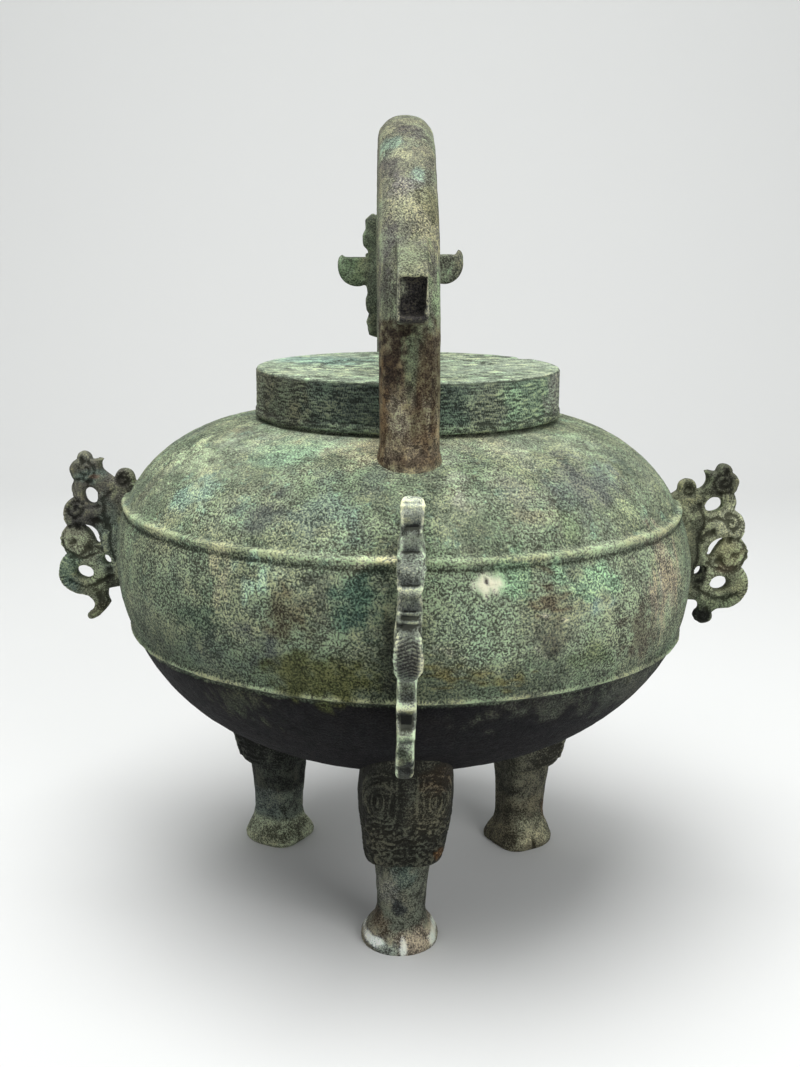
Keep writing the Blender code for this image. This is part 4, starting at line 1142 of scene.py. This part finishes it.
def make_flange(name, azimuth, rise, curl, tail, holes, patches, rimmed, lean, aside):
    """One openwork dragon standing out from the belly, carved on both faces and ribbed along its rim.

    rise: how much higher it sits than the lowest one. curl: where its top curl meets the shoulder.
    rimmed: how deep its rim's seams are cut, 1 on the back one. lean, aside: how it stands off its plane.
    """
    windows = [oval((u, v + rise), sizes, tilt) for (u, v), sizes, tilt in holes]
    flange = plate([flange_outline(rise, curl, tail), eye_slot(rise)] + windows, FLANGE_THICKNESS, 2.3)
    flange = fuse(name, [flange], 0.5, 3)

    points, normals = read(flange)
    u, t, v = points[:, 0].copy(), points[:, 1].copy(), points[:, 2] - rise
    seed = 11.0 + azimuth / 30
    fine, broad = lumps(points, 1.9, seed), lumps(points, 4.6, seed + 1)
    face = step(np.abs(normals[:, 1]), 0.35, 0.8)
    outward = step(normals[:, 0], 0.10, 0.50) * step(u, 124, 128)
    worn_u, worn_v = u + 1.0 * broad, v + 0.8 * fine + 0.5 * broad
    curl_line = scroll((curl[0] - 0.4, curl[1] - rise - 0.4), 1.0, 3.2, 40, 1.2)
    carved = grooves(worn_u, worn_v, CARVED_LINES + [curl_line], 0.75) * face
    pits = sum(bell(np.hypot(worn_u - pu, worn_v - pv), radius)
               for pu, pv, radius in CARVED_PITS + [(123.6, curl[1] - rise + 0.6, 1.5)])
    pits = np.clip(pits, 0, 1) * face
    ribs = np.zeros(len(points))
    for cu, cv, inner, start, end in ((139.2, 136.2, 5.2, -75, 75), (140.0, 163.5, 4.5, -30, 100)):
        far, turn = np.hypot(u - cu, v - cv), np.degrees(np.arctan2(v - cv, u - cu))
        window = step(turn, start - 6, start + 4) * step(turn, end + 6, end - 4) * step(far, inner - 0.8, inner + 0.4)
        ribs += 0.7 * np.sin(np.radians(turn) * 34 + broad) * window * face
    feather = np.sin((v + 0.45 * np.abs(t - 1.0) + 0.3 * broad) * math.tau / 1.3)
    ribs += feather * outward * step(v, 126, 129) * step(v, 144, 141)
    worn_level = v + 0.25 * broad
    seams, ridges = (rimmed * outward * sum(deep * bell(worn_level - level, half) for level, half, deep in rows)
                     for rows in (RIM_SEAMS, RIM_RIDGES))

    rough = 0.6 * fine + broad
    move = -carved - 1.7 * pits + 0.2 * ribs - seams + ridges + 0.24 * rough + 0.5 * lumps(points, 9.0, 13.0)
    worn = (rimmed - 0.3) * bell(np.abs(t) - 3.9, 0.7) * step(normals[:, 0], -0.3, 0.3)
    relief = 0.45 * rough + 0.9 * worn - carved - 1.3 * pits + (0.3 + 0.4 * outward) * ribs + 1.3 * (ridges - seams)
    paint = np.zeros((len(points), 4))
    lay_patches(paint, np.stack([u, v], 1), patches, {"patch": 0.55 * broad + 0.35 * fine})
    # The back rim gets painted highlights on the upper part of each lobe and painted shade at its seams.
    if rimmed == 1:
        paint_rim_highlights_and_shade(paint, t, v, broad, outward)
    lay(paint, "#c0c6b8", 0.8 * worn * step(broad, -0.4, 0.2))
    points += normals * move[:, None]
    points[:, 1] *= np.interp(v, *zip(*RIM_WIDTH)) / FLANGE_THICKNESS
    points[:, 1] += lean * (v - 145.0) + aside
    points[:, 0] = np.minimum(points[:, 0], FLANGE_REACH)
    turn_about_axis(points, azimuth)
    write(flange, points, relief, paint)
    return flange


def paint_rim_highlights_and_shade(paint, t, v, broad, outward):
    """Between two seams the rim is painted dark as shade at the lower one and pale as a highlight at the upper one;
    below its lowest seam it is painted dark.
    """
    levels = np.array([80.0] + sorted(level for level, *_ in RIM_SEAMS) + [194.0])
    above = np.clip(np.searchsorted(levels, v), 1, len(levels) - 1)
    climb = (v - levels[above - 1]) / (levels[above] - levels[above - 1]) + 0.2 * broad
    lay(paint, "#b3bbae", 0.5 * step(climb, 0.6, 1.0) * outward)
    lay(paint, "#34373a", 0.7 * step(climb, 0.6, 0.0) * outward)
    lay(paint, "#2b2c30", 0.8 * step(v + broad, 90.0, 88.0) * step(np.abs(t), 3.2, 2.4) * outward)


# Patches on each flange: colour, middle as (distance from the axis, height), radii and strength.
RIGHT_PATCHES = [
    ("#8b8f77", (136, 155), (30, 40), 0.8), ("#46473e", (138, 184), (9, 9), 0.9),
    ("#5a5d4a", (124, 176), (8, 10), 0.6), ("#4c5042", (128, 150), (4.5, 26), 0.8),
    ("#9da189", (143, 164), (9, 8), 0.85), ("#8b8966", (142, 150), (7, 7), 0.6),
    ("#696c56", (146, 135), (8, 9), 0.8), ("#4d5a46", (138, 127), (10, 5), 0.6),
    ("#2d312c", (131.5, 120), (6, 6), 0.95), ("#2f3129", (129, 141), (4, 4), 0.7),
    ("#80705f", (141, 143.5), (4, 2), 0.5),
]
LEFT_PATCHES = [
    ("#828776", (136, 145), (30, 30), 0.7), ("#575550", (136, 174), (14, 20), 0.85),
    ("#5d5b54", (124, 178), (9, 9), 0.6), ("#707268", (139.5, 187), (4.5, 4), 0.8),
    ("#63736b", (137, 179), (7, 3), 0.7), ("#755d4f", (134.5, 178.6), (2.8, 1.1), 0.8),
    ("#41403f", (141, 160), (9, 7), 0.8), ("#8b8d78", (144, 149), (7, 6), 0.8),
    ("#6c776d", (129, 150), (5, 16), 0.8), ("#a09e88", (150, 160), (2.4, 6), 0.7),
    ("#5a7061", (148, 138), (6, 7), 0.75), ("#4f6664", (145, 130), (4, 4), 0.7),
    ("#7b8068", (136, 131), (9, 5), 0.7), ("#25251f", (128, 131), (3, 5), 0.8),
    ("#6f6d58", (134, 118), (6, 5), 0.7),
]
# After the first, the back's patches lie in bands across its rim: the pale ones are painted highlights on the tops of
# its lobes, the dark ones painted shade at its seams and under its lobes.
BACK_PATCHES = [
    ("#7a8176", (136, 160), (40, 50), 0.8), ("#bfc7b8", (140, 189), (8, 4.5), 0.9),
    ("#1d1f1e", (146, 179.3), (9, 2.0), 0.9), ("#1d1f1e", (150, 146.1), (9, 1.5), 0.85),
    ("#868d83", (145, 165), (9, 7), 0.7), ("#3e423e", (150, 153.5), (9, 3), 0.8),
    ("#9ba296", (150, 158.5), (9, 1.6), 0.7), ("#474744", (150, 135), (9, 9), 0.9),
    ("#8f9689", (146, 125.5), (9, 3), 0.8), ("#333632", (141, 110), (9, 4), 0.9),
    ("#a8ae9e", (141, 115.5), (9, 1.8), 0.9), ("#a0a795", (141, 105), (9, 1.6), 0.8),
    ("#515a4c", (138, 99), (9, 5), 0.9), ("#282c28", (133, 91), (12, 4), 0.9),
]


# ---------------------------------------------------------------- legs

# A leg's sections: height, half width, and distance of its inner and outer face from the axis.
LEG_SECTIONS = [
    (0.0, 15.8, 53.9, 84.2), (2.0, 16.1, 53.8, 84.3), (5.6, 14.1, 55.0, 82.8), (9.7, 11.0, 57.0, 80.8),
    (14.0, 10.1, 57.6, 80.0), (20.6, 10.3, 57.4, 80.2), (27.5, 10.8, 57.0, 80.8), (33.0, 11.4, 56.6, 81.6),
    (38.8, 12.0, 56.0, 82.4), (39.4, 15.9, 55.4, 85.4), (41.5, 16.9, 55.2, 87.0), (50.0, 17.8, 55.0, 90.2),
    (60.0, 19.2, 54.5, 93.4), (67.0, 19.8, 54.2, 94.8), (76.0, 19.3, 54.0, 95.2), (84.0, 18.4, 53.5, 95.0),
    (96.0, 16.0, 53.0, 93.5),
]
LEG_SIDES = 36
MASK_FOOT, MASK_EYE = 39.0, (11.4, 70.6)
# The beast mask's raised lines on one side, as (height, half width, line of (across, height)).
MASK_LINES = [
    (1.1, 2.4, [(0.0, 84.0), (0.0, 62.0)]),
    (0.8, 1.2, [(0.0, 62.0), (0.6, 57.0), (2.8, 54.6), (4.6, 56.4), (3.6, 58.4)]),
    (0.7, 0.6, [(4.0, 82.0), (4.0, 66.0), (5.0, 62.5)]),
    (0.8, 0.8, [(5.0, 76.0), (8.5, 78.2), (13.0, 77.0), (16.0, 73.0), (16.8, 68.0)]),
    (0.5, 0.4, [(9.0, 73.0), (10.2, 75.2), (12.4, 75.0), (13.9, 72.6), (13.9, 68.4), (12.6, 66.2), (10.4, 66.0),
                (9.1, 68.4), (9.0, 73.0)]),
    (0.7, 0.5, [(11.3, 72.6), (11.5, 68.8)]), (0.4, 0.4, [(6.4, 81.0), (6.3, 74.0), (7.2, 68.0), (6.6, 64.4)]),
    (0.4, 0.4, [(8.2, 79.6), (11.8, 78.0), (15.4, 74.0), (15.9, 69.0), (14.8, 64.8)]),
    (0.5, 0.5, [(5.4, 64.0), (8.6, 63.6), (12.4, 64.6), (15.6, 62.6)]),
    (0.6, 0.6, [(4.2, 62.4), (8.0, 61.6), (12.0, 62.4), (15.0, 60.4), (15.8, 57.0), (13.6, 55.0), (11.6, 56.6),
                (12.6, 58.6)]),
    (0.5, 0.5, [(5.0, 59.6), (8.8, 58.8), (10.6, 56.2)]),
    (0.7, 0.6, [(1.0, 52.6), (5.0, 51.6), (9.0, 53.0), (13.0, 52.0), (15.2, 48.6)]),
    (0.6, 0.5, [(1.0, 50.0), (5.0, 49.2), (9.0, 50.0), (12.4, 48.4), (13.6, 45.4)]),
    (0.7, 0.6, [(0.8, 45.6), (3.6, 46.4), (6.0, 45.0), (6.4, 42.6), (4.6, 41.4), (3.2, 42.8)]),
    (0.7, 0.6, [(8.0, 46.4), (10.6, 45.8), (11.8, 43.4), (10.4, 41.2), (8.4, 42.0)]),
    (0.5, 0.5, [(16.2, 79.5), (17.4, 75.0), (17.4, 69.0)]),
    (0.5, 0.5, [(6.0, 82.0), (10.0, 82.6), (14.0, 80.6)]),
]


def leg_ring(height, half, inner, outer, square):
    """One section of a leg on the back's side: flattened inside, and as square outside as asked."""
    middle = inner + (outer - inner) * 0.42
    ring = []
    for i in range(LEG_SIDES):
        across, out = math.cos(math.tau * i / LEG_SIDES), math.sin(math.tau * i / LEG_SIDES)
        if out < 0:
            across = math.copysign(abs(across) ** 0.5, across)
            depth = -(middle - inner) * abs(out) ** 0.6
        else:
            power = square if height > MASK_FOOT else 1.0
            across = math.copysign(abs(across) ** power, across)
            depth = (outer - middle) * out ** power
        ring.append([half * across * MM, -(middle + depth) * MM, height * MM])
    return ring


def make_leg_blank(square):
    """A leg without its carving, extruded upwards ring by ring."""
    bpy.ops.object.select_all(action="DESELECT")
    bpy.ops.mesh.primitive_circle_add(vertices=LEG_SIDES, radius=14 * MM, fill_type="NGON", location=(0, 0, 0))
    leg = bpy.context.object
    edit("FACE")
    bpy.ops.mesh.select_all(action="SELECT")
    for low, high in zip(LEG_SECTIONS, LEG_SECTIONS[1:]):
        bpy.ops.mesh.extrude_region_move(TRANSFORM_OT_translate={"value": (0, 0, (high[0] - low[0]) * MM)})
    close_up()
    for section in LEG_SECTIONS:
        ring = leg_ring(*section, square)
        for vertex in [v for v in leg.data.vertices if abs(v.co.z / MM - section[0]) < 0.01]:
            vertex.co = ring[round(math.atan2(vertex.co.y, vertex.co.x) / math.tau * LEG_SIDES) % LEG_SIDES]
    apply(leg, "SUBSURF", levels=1, render_levels=1, subdivision_type="SIMPLE")
    return leg


def make_leg(name, azimuth, shift, lean, slim, square, zones, spots, notches=()):
    """A hoofed leg under the belly with a beast mask carved on its thigh.

    shift: how far out it stands. lean: its slope across and outwards. slim: its width against the back one's.
    zones, spots: its paint. notches: where chips cut its hoof, as angles in degrees.
    """
    leg = make_leg_blank(square)
    leg = fuse(name, [leg], 0.55, 4)
    points, normals = read(leg)
    across, height = points[:, 0].copy(), points[:, 2].copy()
    front = step(normals[:, 1], 0.25, -0.15)
    mask = front * step(height, MASK_FOOT, MASK_FOOT + 2)
    raised = np.zeros(len(points))
    proud = np.zeros(len(points))
    for tall, wide, line in MASK_LINES:
        ridge = bell(stroke_distance(np.abs(across), height, line), wide)
        proud = np.maximum(proud, tall * ridge)
        raised = np.maximum(raised, ridge * min(1.0, 0.9 / wide))
    fine, broad = lumps(points, 1.9, azimuth / 30), lumps(points, 5.0, azimuth / 30 + 3)
    from_eye = np.hypot(1.5 * (np.abs(across) - MASK_EYE[0]), height - MASK_EYE[1])
    rings = np.sin(from_eye * math.tau / 1.7) * step(from_eye, 13, 9)
    rows = curls(np.abs(across) + fine, height + 0.8 * broad, 4.4, 2.4) * step(height, 64, 60)
    rough = 0.5 * fine + broad
    cleft = bell(across, 0.8) * front * step(height, 9.0, 5.0)
    for angle in notches:
        away = np.degrees(np.arctan2(points[:, 1] + 69.0, across)) - angle
        cleft += 2.2 * bell(((away + 180) % 360 - 180) * 0.26, 0.9) * step(height, 8.0, 3.0)
    move = mask * (1.25 * proud + 0.2 * (rings + rows) * (1 - raised) - 0.5) + 0.2 * rough
    move += 0.4 * lumps(points, 20.0, azimuth + 5) - 0.7 * cleft
    relief = mask * (1.1 * raised - 0.75 + 0.4 * rings + 0.8 * rows) + 0.8 * rough - 0.8 * cleft
    sole = step(height, 0.3, 1.2)
    points += normals * (move * sole)[:, None]
    points[:, 2] = np.where(height < 0.6, 0.0, np.maximum(points[:, 2], 0.0))
    points[:, 0] = points[:, 0] * slim + lean[0] * (points[:, 2] - 30.0)
    points[:, 1] -= shift + lean[1] * (points[:, 2] - 40.0)
    turn_about_axis(points, azimuth + 90)
    radial = np.hypot(points[:, 0], points[:, 1])
    inside = (radial < belly_radius(points[:, 2]) - 1.5) & (points[:, 2] > 66)
    bowl = np.interp(radial, BELLY_CURVE[BOWL_HALF, 0], BELLY_CURVE[BOWL_HALF, 1])
    points[:, 2] = np.where(inside, np.minimum(points[:, 2], bowl + 1.2), points[:, 2])
    paint = np.zeros((len(points), 4))
    ragged = 0.55 * broad + 0.35 * fine
    edge = height + 3.0 * ragged
    for colour, base, top, strength in zones:
        lay(paint, colour, strength * step(edge, base - 1.5, base + 1.5) * step(edge, top + 1.5, top - 1.5))
    local, outer = np.stack([across, height], 1), step(normals[:, 1], 0.6, 0.1)
    relief += 1.3 * lay_patches(paint, local, spots, {"patch": ragged}, outer)
    write(leg, points, relief, paint)
    return leg


# Paint on each leg: zones as (colour, lowest and highest height, strength), and spots on its outer
# face as (colour, middle as (across, height), radii, strength). Those of strength 1 are crusts.
BACK_LEG_PAINT = dict(
    zones=[
        ("#383932", 37, 100, 0.92), ("#565950", -5, 38, 0.9), ("#807b6c", -5, 9, 0.8),
    ],
    spots=[
        ("#50605a", (0, 34), (5, 6), 0.7), ("#7f817b", (-6, 26), (4, 8), 0.6),
        ("#33373a", (-1, 19), (4, 3), 0.8), ("#6a5d4d", (-9, 11), (5, 4), 0.7),
        ("#a09484", (7, 5), (8, 5), 0.7), ("#8b9690", (-5, 2), (6, 3), 0.7),
        ("#bdc2c8", (-10.8, 3.8), (4.8, 1.8), 1.0), ("#b3b5b8", (1.2, 2.6), (1.6, 3.4), 1.0),
        ("#acaeac", (13.7, 4.0), (1.6, 3.2), 1.0), ("#7b5a36", (14.6, 44.0), (2.2, 2.7), 0.9),
        ("#5c5a4b", (9, 66), (8, 12), 0.5), ("#4c4b40", (-12, 52), (8, 8), 0.5),
        ("#55493a", (13, 80), (8, 6), 0.6),
    ],
)
LEFT_LEG_PAINT = dict(
    zones=[
        ("#303432", 20, 100, 0.85), ("#687068", -5, 26, 0.8), ("#9ba189", -5, 12, 0.9),
    ],
    spots=[
        ("#25282a", (0, 52), (12, 8), 0.7), ("#8f9880", (-4, 6), (9, 5), 0.7),
        ("#55605f", (8, 18), (5, 8), 0.6),
    ],
)
RIGHT_LEG_PAINT = dict(
    zones=[
        ("#515147", 18, 100, 0.85), ("#5c594b", -5, 24, 0.8), ("#6b6756", -5, 10, 0.8),
    ],
    spots=[
        ("#8f907a", (-11, 8), (5, 6), 0.8), ("#6e5138", (-4, 16), (3, 6), 0.7),
        ("#33332f", (2, 50), (12, 8), 0.6), ("#a3a086", (-15, 7), (2.6, 5), 0.9),
    ],
    notches=[173],
)


# ---------------------------------------------------------------- spout

# The spout's middle line as (y, z), with its outer radius.
SPOUT_LINE = [
    (96.0, 174.5, 17.8), (113.0, 177.5, 17.6), (127.5, 183.0, 16.8), (134.5, 193.0, 15.5), (135.4, 203.0, 13.2),
    (135.2, 211.0, 11.8), (135.8, 218.5, 10.6),
]


# The dragon's upper lip, then its ears, eyes and cheeks, as (middle, radii, turn).
SPOUT_BALLS = [
    ((0, 143.4, 209.0), (9.6, 8.2, 5.6), (35, 0, 0)),
    ((10.4, 130.5, 211.0), (4.2, 4.8, 7.2), (35, 0, 0)),
    ((9.0, 139.6, 213.4), (3.4, 3.8, 3.6), (0, 0, 0)),
    ((11.6, 134.5, 203.5), (3.4, 4.4, 4.4), (0, 0, 0)),
]
JAW_LINES = [
    scroll((146.5, 209.0), 0.8, 4.2, 0, 1.3),
    scroll((139.6, 213.4), 2.6, 2.8, 0, 1.0),
    [(130, 205), (136, 203.5), (142, 204.5), (148, 207)],
]
BORE_RADIUS, BORE_LEVEL, BORE_REACH = 7.3, 181.0, 134.5  # level from the pot out to its reach, then up


def make_spout():
    """A neck rising from the shoulder to a dragon's open mouth, with its channel drilled through."""
    data = bpy.data.curves.new("spout", "CURVE")
    data.dimensions = "3D"
    data.use_fill_caps = True
    data.bevel_depth = 1.0
    data.bevel_resolution = 8
    data.resolution_u = 8
    spline = data.splines.new("BEZIER")
    spline.bezier_points.add(len(SPOUT_LINE) - 1)
    for target, (y, z, radius) in zip(spline.bezier_points, SPOUT_LINE):
        target.co = (0, y * MM, z * MM)
        target.handle_left_type = "AUTO"
        target.handle_right_type = "AUTO"
        target.radius = radius * MM
    neck = bpy.data.objects.new("spout", data)
    bpy.context.scene.collection.objects.link(neck)
    select_only(neck)
    bpy.ops.object.convert(target="MESH")
    neck = bpy.context.object
    bpy.ops.object.mode_set(mode="EDIT")
    close_up()
    spout = fuse("bronze_spout", [neck] + balls(SPOUT_BALLS), 0.7)
    cut(spout, rod((0, 88, BORE_LEVEL), (0, BORE_REACH + 2, BORE_LEVEL), BORE_RADIUS))
    cut(spout, rod((0, BORE_REACH, BORE_LEVEL - 2), (0, BORE_REACH, 232), BORE_RADIUS))
    points, normals = read(spout)
    x, y, z = points.T
    off = np.hypot(x, y - BORE_REACH)
    outer = step(off, 8.2, 9.6) + step(z, 190, 186) * step(np.hypot(x, z - BORE_LEVEL), 8.2, 9.6)
    outer = np.clip(outer, 0, 1) * step(y, 100, 106)
    along = z + 0.55 * np.abs(x)
    scales = np.sin(along * math.tau / 4.2) * step(z, 205, 200) * step(z, 172, 178)
    carved = grooves(y, z, JAW_LINES, 0.6) * step(z, 198, 201)
    rough = lumps(points, 2.1, 21.0) * 0.5 + lumps(points, 5.5, 22.0)
    points += normals * (outer * (0.28 * scales - 0.5 * carved + 0.13 * rough))[:, None]
    relief = np.where(outer > 0.5, 0.35 * scales - 0.8 * carved + 0.25 * rough, -0.6)
    write(spout, points, relief, np.zeros((len(points), 4)))
    return spout


make_camera()
make_studio()

# Leaded bronze, cast, then buried: a matt skin of green malachite over brown-red cuprite, which the
# eye reads as dull, mottled and sandy, with no shine of metal left.
pot_bronze = patina("Cast bronze, malachite and cuprite patina, matt", **POT_PATINA)
finish(make_pot(), "body", pot_bronze)
finish(make_spout(), "spout", pot_bronze)

# The same bronze under the hand that lifted it: chalky pale verdigris on top, dark and fine on the skirt.
lid_bronze = patina(
    "Cast bronze, pale verdigris, matt", ground=("#85927f", "#94a08c"),
    coats=(("#9fae9a", 20.0, 0.50, 0.62, 0.7), ("#73806f", 12.0, 0.56, 0.66, 0.7)),
    grain=0.36, lace=0.5, laid=5.0, calm=(229.0, 0.6))
finish(make_lid(), "lid", lid_bronze)

# Cast bronze under a thin even skin, so the bar looks smoother than the pot, and rust brown at its root.
handle_bronze = patina(
    "Cast bronze, grey-green patina, rust brown at the root", ground=("#686a5e", "#7b7f6c"),
    coats=(("#8c9078", 9.0, 0.55, 0.65, 0.6), ("#5b5a54", 7.0, 0.58, 0.68, 0.6)), grain=0.95)
finish(make_handle(), "handle", handle_bronze)

# Cast bronze in openwork: dark green in the hollows and rubbed pale on the curls that stand out.
flange_bronze = patina(
    "Cast bronze, dark green patina, worn pale on the high points", ground=("#50543f", "#6b6f5a"),
    coats=(("#8a8f78", 7.0, 0.56, 0.66, 0.6), ("#3b3d36", 5.0, 0.58, 0.68, 0.6)), grain=0.8)
for name, azimuth, rise, curl, tail, holes, patches, rimmed, lean, aside in (
    ("right", 0, 0.0, (123.8, 178.6), STUMP_TAIL, RIGHT_HOLES, RIGHT_PATCHES, 0.3, 0.0, 0.0),
    ("left", 180, 4.2, (122.2, 181.8), HOOKED_TAIL, LEFT_HOLES, LEFT_PATCHES, 0.3, 0.0, 0.0),
    ("back", -90, 12.0, (115.0, 189.5), LONG_TAIL, BACK_HOLES, BACK_PATCHES, 1.0, 0.022, 1.6),
):
    flange = make_flange("flange_dragon_" + name, azimuth, rise, curl, tail, holes, patches, rimmed, lean, aside)
    finish(flange, "flange_" + name, flange_bronze)

# Cast bronze that stood in wet earth: near black and coarse, with a white lime crust on the hooves.
leg_bronze = patina(
    "Cast bronze, dark patina, lime crust on the hooves", ground=("#43443c", "#5a5b50"),
    coats=(("#6f7163", 6.0, 0.56, 0.66, 0.6),), grain=1.15, pale=("#d0ccbb", "#c6ccc0"))
for name, azimuth, shift, lean, slim, square, paint in (
    ("back", -90, 0.0, (0.035, 0.0), 1.0, 0.7, BACK_LEG_PAINT),
    ("right", 30, -1.5, (0.03, 0.05), 0.93, 1.0, RIGHT_LEG_PAINT),
    ("left", 150, 1.2, (0.0, 0.0), 0.93, 1.0, LEFT_LEG_PAINT),
):
    leg = make_leg("hoofed_leg_" + name, azimuth, shift, lean, slim, square, **paint)
    finish(leg, "leg_" + name, leg_bronze)
